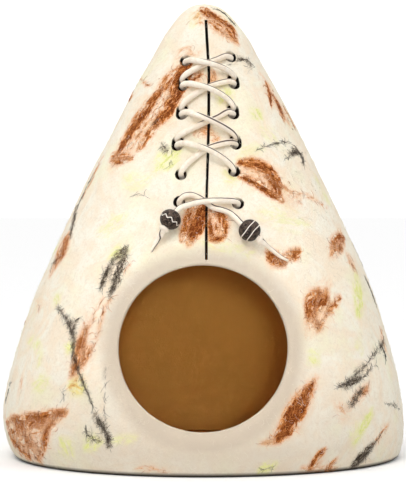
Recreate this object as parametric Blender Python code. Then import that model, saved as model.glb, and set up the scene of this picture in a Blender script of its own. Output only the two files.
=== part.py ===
"""Felt cat cave: a seamless felted wool cone with a closed floor, a round entrance and a laced slit.

The front faces -Y. The origin lies under the cave on the surface it stands on, at the middle of its widest section.
Lengths are metres; the tables below are in millimetres and are turned into metres by MM where they are read.
"""
import math
from collections import namedtuple

import bmesh
import bpy
import numpy as np
from mathutils import Matrix, Vector

MM = 0.001

# Driving dimensions of the felt shell
WALL = 6.5 * MM
DEPTH_RATIO = 0.93            # depth of every section over its width
INNER_CORNER = 1.5 * MM       # inset of the cavity's floor edge
INNER_RISE = 0.4 * MM         # the cavity's side starts this far above its floor
OUTER_SIDES = 56
INNER_SIDES = 44
RING_SPACING = 24.0 * MM      # between its rings on a straight stretch
RING_TURN = math.radians(15.0)  # a bend of this angle gets one more ring

# The outer form, foot to tip: half of the width at each height, and how far the middle leans to the right
Section = namedtuple("Section", "height half_width lean")
SECTIONS = [
    Section(0.0, 196.0, 0.0),
    Section(1.2, 200.5, 0.0),
    Section(5.0, 205.4, 0.0),
    Section(13.0, 208.8, 0.0),
    Section(30.0, 211.0, 0.0),
    Section(55.0, 209.5, 0.0),
    Section(80.0, 205.4, 0.2),
    Section(105.0, 199.2, 0.6),
    Section(130.0, 191.6, 1.0),
    Section(165.0, 179.8, 1.8),
    Section(206.0, 163.0, 2.1),
    Section(248.0, 144.2, 2.0),
    Section(290.0, 123.8, 1.4),
    Section(332.0, 102.4, 2.1),
    Section(374.0, 81.0, 2.7),
    Section(416.0, 57.2, 2.6),
    Section(442.0, 42.6, 2.4),
    Section(458.0, 31.0, 2.2),
    Section(467.0, 22.4, 2.1),
    Section(473.0, 12.6, 2.0),
    Section(475.4, 0.0, 2.0),
]

# Round entrance, cut straight through the front wall
ENTRANCE_WIDTH = 165.0 * MM
ENTRANCE_HEIGHT = 161.5 * MM
ENTRANCE_MIDDLE = 126.5 * MM
ENTRANCE_SIDES = 56
ENTRANCE_CUT_MIDDLE = -160.0 * MM
ENTRANCE_CUT_LENGTH = 200.0 * MM

# Slit from under the tip to just above the entrance: its place across the front at each height
SLIT_WIDTH = 2.2 * MM
SLIT_CUT_FRONT = -260.0 * MM
SLIT_CUT_LENGTH = 255.0 * MM
SlitPoint = namedtuple("SlitPoint", "height x")
SLIT_LINE = [
    SlitPoint(456.5, 3.0),
    SlitPoint(435.0, 4.1),
    SlitPoint(404.6, 6.0),
    SlitPoint(346.7, 5.8),
    SlitPoint(308.1, 4.7),
    SlitPoint(280.9, 3.8),
    SlitPoint(251.1, 3.3),
    SlitPoint(212.5, 3.3),
]

# Lace holes, in pairs from the top row down: places on the front, and how tall each row's slots are
HoleRow = namedtuple("HoleRow", "left_x left_z right_x right_z tall")
HOLE_ROWS = [
    HoleRow(-17.9, 413.4, 28.4, 417.9, 11.4),
    HoleRow(-20.9, 389.9, 31.4, 392.2, 17.4),
    HoleRow(-21.4, 360.7, 30.6, 361.0, 17.0),
    HoleRow(-25.8, 328.8, 33.0, 330.0, 16.4),
    HoleRow(-22.2, 297.1, 31.3, 300.2, 11.4),
    HoleRow(-23.8, 269.4, 35.1, 267.9, 11.4),
]
HOLE_WIDTH = 11.2 * MM
HOLE_SIDES = 16
HOLE_CUT_LENGTH = 26.0 * MM

# Lace
LACE_RADIUS = 3.1 * MM
LACE_SQUEEZED = 2.75 * MM     # inside a hole, where the felt grips it
LACE_SPACING = 13.0 * MM      # between its points on a straight stretch
LACE_TURN = math.radians(42.0)  # a bend of this angle gets one more point
LACE_BEVEL = 2
LACE_CLEAR = 0.9 * MM         # between the lace and the felt that it lies on
EDGE_RUN = 6.4 * MM           # where a strand lies flat again, beside its hole
EDGE_TURN = 0.9 * MM          # how far beside the hole's middle it starts to dive,
EDGE_DROP = 2.05 * MM         # how far it has sunk there
HOLE_PUSH = 0.6 * MM          # and how far it swings to the far side half way through the wall
OVER_HUMP = 8.2 * MM          # an upper strand's rise over the lower one at the slit
HUMP_SHAPE = 1.2              # above 1 the rise is steeper and shorter
BAR_DEPTH = 7.4 * MM          # the second inside bar lies this much deeper at the crossing
BAR_SHAPE = 0.5               # below 1 the bar keeps that depth nearly from hole to hole
BAR_START = 0.5               # share of that depth that it has beside its holes
BAR_TURN = 0.15               # share of that depth at the turn inside the hole
BAR_SAG = 1.5 * MM            # a bar stands this far off the felt in the middle
RUN_SHARES = (0.3, 0.5, 0.7)  # where the route of an outside run has its middle points
BAR_SHARES = (0.25, 0.5, 0.75)
LIFT_RISE = 0.46              # on the leaning front, what is lifted by 1 stands this much higher

# How late the strands between one row of holes and the next turn down, for the upper strand and the lower one
Run = namedtuple("Run", "over_bend under_bend")
RUNS = [
    Run(2.0, 1.5),
    Run(2.3, 2.1),
    Run(1.7, 1.25),
    Run(2.3, 2.3),
]

# Heights of a strand above the middle of its hole
UPPER = 4.2 * MM
LOWER = -2.4 * MM
TOP_ROW = -1.5 * MM
LEVEL = 0.0

# Directions across and up the front
UPWARD = Vector((0.0, 1.0))
DOWNWARD = Vector((0.0, -1.0))
OUT_OF_R6 = Vector((-1.0, 0.1))
OUT_OF_L6 = Vector((0.8, 0.6))

# Beads on the lace: foot of the middle on the front, lift off the felt, slope of the bore across the front
BEAD_BORE = 3.6 * MM          # radius
BEAD_RINGS = 12
BEAD_SIDES = 20
BEAD_STRAIGHT = 0.6 * MM      # the lace stays straight this far past each end of a bead
Bead = namedtuple("Bead", "name x z lift radius half_length slope")
BEAD_LEFT = Bead("bead_left", -30.3, 247.4, 11.3, 10.7, 9.4, 56.0)
BEAD_RIGHT = Bead("bead_right", 43.3, 236.0, 13.0, 11.0, 10.2, 139.0)

# Free stretches of the lace: foot on the front, lift off the felt and radius of the lace there
Free = namedtuple("Free", "x z lift radius")
LEFT_TAIL = [
    Free(-51.0, 218.6, 2.0, 0.9),
    Free(-49.2, 222.0, 2.6, 1.6),
    Free(-45.6, 227.4, 3.8, 2.5),
    Free(-42.0, 231.6, 6.0, 2.7),
    Free(-40.2, 233.4, 7.8, 4.0),
    Free(-38.6, 235.2, 9.4, 5.4),
    Free(-37.4, 237.0, 10.4, 3.6),
]
LEFT_TWIST = [
    Free(-20.6, 260.4, 8.4, 3.1),
    Free(-13.0, 263.2, 8.2, 3.1),
    Free(-4.6, 264.8, 10.4, 3.1),
    Free(3.6, 265.8, 10.9, 3.1),
    Free(12.0, 267.0, 9.0, 3.1),
]
RIGHT_TWIST = [
    Free(-11.6, 274.6, 4.0, 3.1),
    Free(-4.6, 272.2, 3.8, 3.1),
    Free(3.0, 267.4, 3.8, 3.1),
    Free(9.8, 262.2, 3.8, 3.1),
    Free(18.0, 260.0, 3.9, 3.1),
    Free(25.0, 257.0, 5.0, 3.1),
    Free(30.4, 250.4, 9.6, 3.1),
]
RIGHT_TAIL = [
    Free(53.4, 226.8, 12.0, 3.2),
    Free(55.0, 225.8, 11.2, 4.8),
    Free(57.0, 224.9, 10.0, 3.0),
    Free(60.6, 223.4, 7.8, 2.1),
    Free(67.2, 219.5, 4.8, 2.0),
    Free(75.5, 213.8, 3.2, 1.9),
    Free(83.9, 209.5, 2.4, 1.3),
]


def clear_scene():
    for item in list(bpy.data.objects):
        bpy.data.objects.remove(item, do_unlink=True)


def make_material(name, colour, roughness):
    material = bpy.data.materials.new(name)
    material.use_nodes = True
    shader = material.node_tree.nodes["Principled BSDF"]
    shader.inputs["Base Color"].default_value = (*colour, 1.0)
    shader.inputs["Roughness"].default_value = roughness
    shader.inputs["Metallic"].default_value = 0.0
    return material


def add_object(name, mesh, material=None):
    item = bpy.data.objects.new(name, mesh)
    bpy.context.collection.objects.link(item)
    if material:
        mesh.materials.append(material)
    return item


def smooth_curve(points, per_span=12):
    """A centripetal Catmull-Rom curve through rows of any width, as an array of close points."""
    rows = np.array(points, dtype=float)
    before = 2.0 * rows[0] - rows[1]
    after = 2.0 * rows[-1] - rows[-2]
    rows = np.vstack([before, rows, after])
    out = []
    for i in range(1, len(rows) - 2):
        knots = [0.0]
        for j in range(3):
            gap = np.linalg.norm(rows[i + j] - rows[i + j - 1])
            knots.append(knots[-1] + max(gap, 1e-9) ** 0.5)
        for step in range(per_span):
            t = knots[1] + (knots[2] - knots[1]) * step / per_span
            line = [
                rows[i + j - 1] * (knots[j + 1] - t) / (knots[j + 1] - knots[j])
                + rows[i + j] * (t - knots[j]) / (knots[j + 1] - knots[j])
                for j in range(3)
            ]
            pair = [
                line[j] * (knots[j + 2] - t) / (knots[j + 2] - knots[j])
                + line[j + 1] * (t - knots[j]) / (knots[j + 2] - knots[j])
                for j in range(2)
            ]
            out.append((pair[0] * (knots[2] - t) + pair[1] * (t - knots[1])) / (knots[2] - knots[1]))
    out.append(rows[-2])
    return np.array(out)


def spaced(points, spacing, turn=None):
    """The same curve read again at even steps, or with closer steps where it turns by more than that angle."""
    steps = np.diff(points[:, :3], axis=0)
    lengths = np.linalg.norm(steps, axis=1)
    weights = lengths / spacing
    if turn:
        headings = steps / lengths[:, None]
        bends = np.arccos(np.clip((headings[1:] * headings[:-1]).sum(axis=1), -1.0, 1.0)) / turn
        weights[1:] += bends / 2
        weights[:-1] += bends / 2
    along = np.concatenate([[0.0], np.cumsum(weights)])
    wanted = np.linspace(0.0, along[-1], max(2, round(along[-1]) + 1))
    return np.column_stack([np.interp(wanted, along, column) for column in points.T])


# The outer profile as a fine curve: columns half_width, height, lean
PROFILE = smooth_curve([(s.half_width * MM, s.height * MM, s.lean * MM) for s in SECTIONS])


def half_width_at(z):
    return float(np.interp(z, PROFILE[:, 1], PROFILE[:, 0]))


def lean_at(z):
    return float(np.interp(z, PROFILE[:, 1], PROFILE[:, 2]))


def front_point(x, z):
    """The point of the outer felt that the front view shows at x and z."""
    half = half_width_at(z)
    share = (x - lean_at(z)) / half
    return Vector((x, -DEPTH_RATIO * half * math.sqrt(max(0.0, 1.0 - share * share)), z))


def front_normal(x, z, step=0.4 * MM):
    across = front_point(x + step, z) - front_point(x - step, z)
    upward = front_point(x, z + step) - front_point(x, z - step)
    return across.cross(upward).normalized()


def felt_point(x, z, lift):
    """The point at a lift off the outer felt, or behind it where the lift is negative."""
    return front_point(x, z) + front_normal(x, z) * lift


def inset_profile(depth):
    """The outer profile moved inwards by the wall, from its floor up to its own tip."""
    tangents = np.gradient(PROFILE[:, :2], axis=0)
    lengths = np.linalg.norm(tangents, axis=1)[:, None]
    tangents = tangents / lengths
    inward = np.column_stack([-tangents[:, 1], tangents[:, 0]])
    moved = np.column_stack([PROFILE[:, :2] + inward * depth, PROFILE[:, 2]])
    rising = moved[(moved[:, 1] > depth + INNER_RISE) & (moved[:, 0] > 0.0)]
    corner = np.array([rising[0][0] - INNER_CORNER, depth, 0.0])
    tip = np.array([0.0, PROFILE[-1, 1] - depth, PROFILE[-1, 2]])
    return np.vstack([corner, rising, tip])


def turned_shell(name, profile, sides, material=None):
    """A closed form: a sphere's rings pulled on to a profile of half width, height and lean."""
    rows = spaced(profile, RING_SPACING, RING_TURN)
    rings = len(rows)
    bm = bmesh.new()
    bmesh.ops.create_uvsphere(bm, u_segments=sides, v_segments=rings, radius=1.0)
    floor_middle = []
    for vert in bm.verts:
        ring = rings - round(math.acos(max(-1.0, min(1.0, vert.co.z))) / math.pi * rings)
        angle = math.atan2(vert.co.y, vert.co.x)
        if ring == 0:
            floor_middle.append(vert)
            continue
        half, height, lean = rows[ring - 1]
        vert.co = Vector((lean + half * math.cos(angle), DEPTH_RATIO * half * math.sin(angle), height))
    bmesh.ops.dissolve_verts(bm, verts=floor_middle)
    bmesh.ops.recalc_face_normals(bm, faces=bm.faces)
    mesh = bpy.data.meshes.new(name)
    bm.to_mesh(mesh)
    bm.free()
    return add_object(name, mesh, material)


def as_cutter(item):
    item.hide_render = True
    item.display_type = "WIRE"
    return item


def cut(target, cutter):
    modifier = target.modifiers.new("cut by " + cutter.name, "BOOLEAN")
    modifier.operation = "DIFFERENCE"
    modifier.solver = "EXACT"
    modifier.object = cutter


def entrance_cutter():
    bm = bmesh.new()
    bmesh.ops.create_cone(
        bm, cap_ends=True, segments=ENTRANCE_SIDES, radius1=1.0, radius2=1.0, depth=ENTRANCE_CUT_LENGTH,
    )
    bmesh.ops.scale(bm, vec=(ENTRANCE_WIDTH / 2, ENTRANCE_HEIGHT / 2, 1.0), verts=bm.verts)
    place = Matrix.Translation((0.0, ENTRANCE_CUT_MIDDLE, ENTRANCE_MIDDLE))
    bmesh.ops.transform(bm, matrix=place @ Matrix.Rotation(math.pi / 2, 4, "X"), verts=bm.verts)
    mesh = bpy.data.meshes.new("entrance_cutter")
    bm.to_mesh(mesh)
    bm.free()
    return as_cutter(add_object("entrance_cutter", mesh))


def slit_cutter():
    """A thin ribbon that follows the slit down the front and reaches back to the middle of the cave."""
    bm = bmesh.new()
    line = [Vector((p.x * MM, SLIT_CUT_FRONT, p.height * MM)) for p in SLIT_LINE]
    left = [bm.verts.new(p - Vector((SLIT_WIDTH / 2, 0.0, 0.0))) for p in line]
    right = [bm.verts.new(p + Vector((SLIT_WIDTH / 2, 0.0, 0.0))) for p in line]
    strip = [bm.faces.new((left[i], left[i + 1], right[i + 1], right[i])) for i in range(len(line) - 1)]
    back = bmesh.ops.extrude_face_region(bm, geom=strip)
    moved = [item for item in back["geom"] if isinstance(item, bmesh.types.BMVert)]
    bmesh.ops.translate(bm, vec=(0.0, SLIT_CUT_LENGTH, 0.0), verts=moved)
    bmesh.ops.recalc_face_normals(bm, faces=bm.faces)
    mesh = bpy.data.meshes.new("slit_cutter")
    bm.to_mesh(mesh)
    bm.free()
    return as_cutter(add_object("slit_cutter", mesh))


def holes():
    """Every lace hole by its name, L1 to L6 and R1 to R6: x, z and height of its slot, in metres."""
    found = {}
    for number, row in enumerate(HOLE_ROWS, start=1):
        found[f"L{number}"] = (row.left_x * MM, row.left_z * MM, row.tall * MM)
        found[f"R{number}"] = (row.right_x * MM, row.right_z * MM, row.tall * MM)
    return found


HOLES = holes()


def hole_cutter():
    """Round-ended slots, each square to the felt at its own place."""
    bm = bmesh.new()
    for x, z, tall in HOLES.values():
        made = bmesh.ops.create_cone(
            bm, cap_ends=True, segments=HOLE_SIDES,
            radius1=HOLE_WIDTH / 2, radius2=HOLE_WIDTH / 2, depth=HOLE_CUT_LENGTH,
        )["verts"]
        for vert in made:
            vert.co.y += math.copysign((tall - HOLE_WIDTH) / 2, vert.co.y)
        outward = front_normal(x, z)
        across = Vector((0.0, 0.0, 1.0)).cross(outward).normalized()
        turn = Matrix((across, outward.cross(across), outward)).transposed().to_4x4()
        place = Matrix.Translation(felt_point(x, z, -WALL / 2)) @ turn
        bmesh.ops.transform(bm, matrix=place, verts=made)
    mesh = bpy.data.meshes.new("hole_cutter")
    bm.to_mesh(mesh)
    bm.free()
    return as_cutter(add_object("hole_cutter", mesh))


def make_shell():
    felt = make_material("cream felt", (0.84, 0.76, 0.60), 0.95)
    shell = turned_shell("felt_shell", PROFILE, OUTER_SIDES, felt)
    cavity = as_cutter(turned_shell("cavity_cutter", inset_profile(WALL), INNER_SIDES))
    for cutter in (cavity, entrance_cutter(), slit_cutter(), hole_cutter()):
        cut(shell, cutter)
    shell.data.shade_smooth()
    shell.data.set_sharp_from_angle(angle=math.radians(35.0))
    return shell


def strand_place(hole, height):
    x, z, _tall = HOLES[hole]
    return x, z + height


def pass_through(place, outside, inside, deeper=0.0):
    """Route points of one strand through a hole at a place across and up the front, from outside to inside.

    outside and inside are the directions, across and up, in which the strand leaves the hole on each face.
    """
    x, z = place
    outside = Vector(outside).normalized()
    inside = Vector(inside).normalized()
    over = LACE_RADIUS + LACE_CLEAR
    push = (outside + inside) * HOLE_PUSH
    inner_turn = EDGE_DROP - over - WALL - BAR_TURN * deeper
    return [
        (x + outside.x * EDGE_RUN, z + outside.y * EDGE_RUN, over, LACE_RADIUS),
        (x + outside.x * EDGE_TURN, z + outside.y * EDGE_TURN, over - EDGE_DROP, LACE_SQUEEZED),
        (x - push.x, z - push.y, -WALL / 2, LACE_SQUEEZED),
        (x + inside.x * EDGE_TURN, z + inside.y * EDGE_TURN, inner_turn, LACE_SQUEEZED),
        (x + inside.x * EDGE_RUN, z + inside.y * EDGE_RUN, -over - WALL - BAR_START * deeper, LACE_RADIUS),
    ]


def run_heading(start, end, bend):
    """The direction in which an outside run meets its lower hole, pointing back up along the run."""
    return Vector((start[0] - end[0], bend * (start[1] - end[1])))


def outside_run(start, end, bend, hump):
    """The middle points of a run across the slit: level at first, then bending down to its lower hole."""
    rows = []
    for share in RUN_SHARES:
        x = start[0] + (end[0] - start[0]) * share
        z = start[1] + (end[1] - start[1]) * share ** bend
        rise = hump * math.sin(math.pi * share) ** HUMP_SHAPE
        rows.append((x, z - LIFT_RISE * rise, LACE_RADIUS + LACE_CLEAR + rise, LACE_RADIUS))
    return rows


def inside_bar(start, end, deeper):
    """The middle points of a bar behind the slit."""
    rows = []
    for share in BAR_SHARES:
        x = start[0] + (end[0] - start[0]) * share
        z = start[1] + (end[1] - start[1]) * share
        swing = math.sin(math.pi * share)
        depth = LACE_RADIUS + LACE_CLEAR + WALL + BAR_SAG * swing + deeper * swing ** BAR_SHAPE
        rows.append((x, z, -depth, LACE_RADIUS))
    return rows


def side_of(hole):
    """Towards the slit: a left hole looks right and a right hole looks left."""
    return Vector((1.0, 0.0)) if hole.startswith("L") else Vector((-1.0, 0.0))


def laced_rows():
    """The held part of the route from the lower right hole, up the over strand, and down the under strand."""
    rows = []
    # The over strand, read upwards: out at R6, in at R5, and then over the slit and back behind it, row by row
    rows += pass_through(strand_place("R6", LEVEL), OUT_OF_R6, UPWARD)
    over_stops = [("R5", "L4"), ("R4", "L3"), ("R3", "L2"), ("R2", "L1")]
    for number, (low, high) in enumerate(over_stops):
        low_place = strand_place(low, LEVEL if low == "R5" else UPPER)
        high_place = strand_place(high, TOP_ROW if high == "L1" else LOWER)
        bend = RUNS[-1 - number].over_bend
        arriving = run_heading(high_place, low_place, bend)
        inside = DOWNWARD if low == "R5" else side_of(low)
        rows += reversed(pass_through(low_place, arriving, inside))
        rows += reversed(outside_run(high_place, low_place, bend, OVER_HUMP))
        rows += pass_through(high_place, side_of(high), side_of(high))
        if number + 1 < len(over_stops):
            next_low = over_stops[number + 1][0]
            rows += inside_bar(high_place, strand_place(next_low, UPPER), 0.0)
    rows += inside_bar(strand_place("L1", TOP_ROW), strand_place("R1", TOP_ROW), 0.0)
    # The under strand, read downwards: under at the slit, and then the deeper bar behind it
    under_stops = [("R1", "L2"), ("R2", "L3"), ("R3", "L4"), ("R4", "L5")]
    for number, (high, low) in enumerate(under_stops):
        high_place = strand_place(high, TOP_ROW if high == "R1" else LOWER)
        low_place = strand_place(low, LEVEL if low == "L5" else UPPER)
        high_deeper = 0.0 if high == "R1" else BAR_DEPTH
        low_deeper = 0.0 if low == "L5" else BAR_DEPTH
        bend = RUNS[number].under_bend
        arriving = run_heading(high_place, low_place, bend)
        inside = DOWNWARD if low == "L5" else side_of(low)
        rows += reversed(pass_through(high_place, side_of(high), side_of(high), high_deeper))
        rows += outside_run(high_place, low_place, bend, 0.0)
        rows += pass_through(low_place, arriving, inside, low_deeper)
        if number + 1 < len(under_stops):
            next_high = under_stops[number + 1][0]
            rows += inside_bar(low_place, strand_place(next_high, LOWER), BAR_DEPTH)
    rows += reversed(pass_through(strand_place("L6", LEVEL), OUT_OF_L6, UPWARD))
    return rows


def free_points(rows):
    return [(*felt_point(row.x * MM, row.z * MM, row.lift * MM), row.radius * MM) for row in rows]


def bead_place(bead):
    """The middle of a bead and the direction of its bore, which points up the front."""
    x, z, lift = bead.x * MM, bead.z * MM, bead.lift * MM
    reach = bead.half_length * MM
    slope = math.radians(bead.slope)
    across, upward = math.cos(slope) * reach, math.sin(slope) * reach
    axis = felt_point(x + across, z + upward, lift) - felt_point(x - across, z - upward, lift)
    return felt_point(x, z, lift), axis.normalized()


def bead_points(bead, heading):
    """The straight stretch of the lace inside a bead, along its bore (heading 1) or against it (-1)."""
    middle, axis = bead_place(bead)
    reach = bead.half_length * MM + BEAD_STRAIGHT
    shares = (-heading, -0.5 * heading, 0.5 * heading, heading)
    return [(*(middle + axis * reach * share), LACE_RADIUS) for share in shares]


def lace_route():
    """The whole lace from its left end to its right end: rows of x, y, z and radius."""
    held = [(*felt_point(x, z, lift), radius) for x, z, lift, radius in laced_rows()]
    route = free_points(LEFT_TAIL) + bead_points(BEAD_LEFT, 1) + free_points(LEFT_TWIST)
    route += held
    route += free_points(RIGHT_TWIST) + bead_points(BEAD_RIGHT, -1) + free_points(RIGHT_TAIL)
    return spaced(smooth_curve(route), LACE_SPACING, LACE_TURN)


def make_lace():
    rows = lace_route()
    curve = bpy.data.curves.new("lace", "CURVE")
    curve.dimensions = "3D"
    curve.bevel_depth = 1.0
    curve.bevel_resolution = LACE_BEVEL
    curve.render_resolution_u = 0
    curve.use_fill_caps = True
    spline = curve.splines.new("POLY")
    spline.points.add(len(rows) - 1)
    for point, (x, y, z, radius) in zip(spline.points, rows):
        point.co = (x, y, z, 1.0)
        point.radius = radius
    curve.materials.append(make_material("cream lace", (0.80, 0.70, 0.56), 0.75))
    lace = bpy.data.objects.new("lace", curve)
    bpy.context.collection.objects.link(lace)
    return lace


def make_bead(bead, material):
    """A turned clay bead: a rounded barrel about its bore, set on the line of the lace."""
    radius = bead.radius * MM
    half_length = bead.half_length * MM
    end_angle = math.acos(BEAD_BORE / radius)
    bm = bmesh.new()
    outline = []
    for step in range(BEAD_RINGS + 1):
        angle = end_angle * (2.0 * step / BEAD_RINGS - 1.0)
        height = half_length * math.sin(angle) / math.sin(end_angle)
        outline.append(bm.verts.new((radius * math.cos(angle), 0.0, height)))
    edges = [bm.edges.new(pair) for pair in zip(outline, outline[1:] + outline[:1])]
    bmesh.ops.spin(
        bm, geom=outline + edges, cent=(0.0, 0.0, 0.0), axis=(0.0, 0.0, 1.0),
        angle=2.0 * math.pi, steps=BEAD_SIDES, use_merge=True,
    )
    bmesh.ops.recalc_face_normals(bm, faces=bm.faces)
    mesh = bpy.data.meshes.new(bead.name)
    bm.to_mesh(mesh)
    bm.free()
    mesh.shade_smooth()
    mesh.set_sharp_from_angle(angle=math.radians(40.0))
    item = add_object(bead.name, mesh, material)
    middle, axis = bead_place(bead)
    item.rotation_mode = "QUATERNION"
    item.rotation_quaternion = axis.to_track_quat("Z", "Y")
    item.location = middle
    return item


def main():
    clear_scene()
    make_shell()
    make_lace()
    clay = make_material("dark clay", (0.06, 0.045, 0.04), 0.6)
    for bead in (BEAD_LEFT, BEAD_RIGHT):
        make_bead(bead, clay)


main()
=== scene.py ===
# %% [markdown]
# # A felted wool cat cave
# The real object is one seamless shell of wet-felted wool, about 47 cm tall, with a round entrance and a
# slit down its front. A soft cord is laced through holes on both sides of the slit, and its ends carry clay
# beads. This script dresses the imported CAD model: it loads the model as a fixed frame, makes the lace, the
# beads and the felt in fine detail, and lights them. Lengths are metres and the rows of the tables are
# millimetres. The front faces -Y and Z points up.

# %% Load the frame
import math
import random
from collections import namedtuple

import bmesh
import bpy
import numpy as np
from mathutils import Matrix, Vector, noise
from mathutils.bvhtree import BVHTree


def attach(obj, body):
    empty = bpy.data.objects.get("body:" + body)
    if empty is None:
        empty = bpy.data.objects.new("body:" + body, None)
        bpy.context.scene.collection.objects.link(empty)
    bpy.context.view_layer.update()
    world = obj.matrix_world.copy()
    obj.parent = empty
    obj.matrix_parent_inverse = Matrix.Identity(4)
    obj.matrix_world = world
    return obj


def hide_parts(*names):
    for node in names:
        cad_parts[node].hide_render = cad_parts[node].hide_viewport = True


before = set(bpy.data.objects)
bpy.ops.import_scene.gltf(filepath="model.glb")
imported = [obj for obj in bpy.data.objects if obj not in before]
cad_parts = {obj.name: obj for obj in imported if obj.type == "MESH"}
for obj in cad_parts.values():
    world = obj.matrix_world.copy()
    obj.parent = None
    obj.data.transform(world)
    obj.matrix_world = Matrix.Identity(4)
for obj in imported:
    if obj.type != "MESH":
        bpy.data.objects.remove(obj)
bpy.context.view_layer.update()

# %% [markdown]
# ## The camera
# The photograph was taken from straight in front, a little above the middle of the cave and from a few
# metres away. A long lens from 2.6 m gives the same gentle perspective. The focal length is written in
# pixels of the photograph, because that is how it was worked out from the size of the cave in the frame.

# %% Camera
MM = 0.001
PHOTO_WIDTH, PHOTO_HEIGHT = 406, 487   # the photograph's frame, in pixels
FOCAL_PIXELS = 2470.0
SENSOR = 36.0                          # the sensor's long side, in mm
NEAR_CLIP, FAR_CLIP = 0.1, 50.0
CAMERA_PLACE, CAMERA_TARGET = Vector((0.0, -2.6, 0.305)), Vector((0.0, 0.0, 0.22345))


def make_camera():
    camera = bpy.data.objects.new("camera", bpy.data.cameras.new("camera"))
    bpy.context.scene.collection.objects.link(camera)
    camera.data.sensor_fit = "AUTO"
    camera.data.sensor_width = SENSOR
    camera.data.lens = FOCAL_PIXELS * SENSOR / PHOTO_HEIGHT
    camera.location = CAMERA_PLACE
    camera.rotation_mode = "QUATERNION"
    camera.rotation_quaternion = (CAMERA_TARGET - CAMERA_PLACE).to_track_quat("-Z", "Y")
    camera.data.clip_start, camera.data.clip_end = NEAR_CLIP, FAR_CLIP
    bpy.context.scene.camera = camera
    return camera


camera = make_camera()
print("lens:", round(camera.data.lens, 2), "mm")

# %% [markdown]
# ## The form of the cave
# Everything on the cave sits on one form: a pointed bell whose sections are ovals, 0.93 as deep as they are
# wide, with its middle leaning 2 mm to the right. The table gives half of the width at each height. A
# smooth curve through it gives the outer face, and the helpers find a point and the outward direction
# anywhere on the front.

# %% Outer form: sections
WALL = 6.5 * MM
DEPTH_RATIO = 0.93
Section = namedtuple("Section", "height half_width lean")
SECTIONS = [
    Section(0.0, 202.0, 0.0), Section(1.2, 204.6, 0.0), Section(5.0, 207.2, 0.0),
    Section(13.0, 209.2, 0.0), Section(30.0, 211.0, 0.0), Section(55.0, 209.5, 0.0),
    Section(80.0, 205.4, 0.2), Section(105.0, 199.2, 0.6), Section(130.0, 191.6, 1.0),
    Section(165.0, 179.8, 1.8), Section(206.0, 163.0, 2.1), Section(248.0, 144.2, 2.0),
    Section(290.0, 123.8, 1.4), Section(332.0, 102.4, 2.1), Section(374.0, 81.0, 2.7),
    Section(416.0, 57.2, 2.6), Section(442.0, 42.6, 2.4), Section(458.0, 31.0, 2.2),
    Section(467.0, 22.4, 2.1), Section(473.0, 12.6, 2.0), Section(475.4, 0.0, 2.0),
]
print("sections:", len(SECTIONS), "up to", SECTIONS[-1].height, "mm")


# %% Curves through points
def clamped(value):
    return min(1.0, max(0.0, value))


def smooth_curve(points, per_span=12):
    """A centripetal Catmull-Rom curve through rows of any width, as an array of close points."""
    rows = np.array(points, dtype=float)
    rows = np.vstack([2.0 * rows[0] - rows[1], rows, 2.0 * rows[-1] - rows[-2]])
    out = []
    for i in range(1, len(rows) - 2):
        knots = [0.0]
        for j in range(3):
            knots.append(knots[-1] + max(np.linalg.norm(rows[i + j] - rows[i + j - 1]), 1e-9) ** 0.5)
        for step in range(per_span):
            t = knots[1] + (knots[2] - knots[1]) * step / per_span
            line = [
                rows[i + j - 1] * (knots[j + 1] - t) / (knots[j + 1] - knots[j])
                + rows[i + j] * (t - knots[j]) / (knots[j + 1] - knots[j])
                for j in range(3)
            ]
            pair = [
                line[j] * (knots[j + 2] - t) / (knots[j + 2] - knots[j])
                + line[j + 1] * (t - knots[j]) / (knots[j + 2] - knots[j])
                for j in range(2)
            ]
            out.append((pair[0] * (knots[2] - t) + pair[1] * (t - knots[1])) / (knots[2] - knots[1]))
    return np.array(out + [rows[-2]])


def spaced(points, spacing):
    """The same curve read again at even steps of its length."""
    along = np.concatenate([[0.0], np.cumsum(np.linalg.norm(np.diff(points[:, :3], axis=0), axis=1))])
    wanted = np.linspace(0.0, along[-1], max(2, round(along[-1] / spacing) + 1))
    return np.column_stack([np.interp(wanted, along, column) for column in points.T])


# %% Outer form: places on it
PROFILE = smooth_curve([(s.half_width * MM, s.height * MM, s.lean * MM) for s in SECTIONS])


def half_width_at(z):
    return float(np.interp(z, PROFILE[:, 1], PROFILE[:, 0]))


def lean_at(z):
    return float(np.interp(z, PROFILE[:, 1], PROFILE[:, 2]))


def front_point(x, z):
    """The point of the outer felt that the front view shows at x and z."""
    half = half_width_at(z)
    share = (x - lean_at(z)) / half if half > 1e-6 else 1.0
    return Vector((x, -DEPTH_RATIO * half * math.sqrt(max(0.0, 1.0 - share * share)), z))


def front_normal(x, z, step=0.4 * MM):
    across = front_point(x + step, z) - front_point(x - step, z)
    upward = front_point(x, z + step) - front_point(x, z - step)
    return across.cross(upward).normalized()


def felt_point(x, z, lift):
    """The point at a lift off the outer felt, or behind it where the lift is negative."""
    return front_point(x, z) + front_normal(x, z) * lift


def form_point(half, height, turn):
    """The point of a section, half of whose width is given, at an angle round from the front."""
    return Vector((lean_at(height) + half * math.sin(turn), -DEPTH_RATIO * half * math.cos(turn), height))


print("form:", len(PROFILE), "points from foot to tip")

# %% [markdown]
# ## The route of the lace
# The real cord goes through six pairs of holes. One half crosses over the slit, the other half crosses
# under it, and behind the slit each half passes straight back to the other side. The route is worked out
# with the same rules as in the CAD source, so the visible cord lies where its solid does: `pass_through` is
# a hole, `outside_run` a crossing in front and `inside_bar` a crossing behind.

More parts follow.
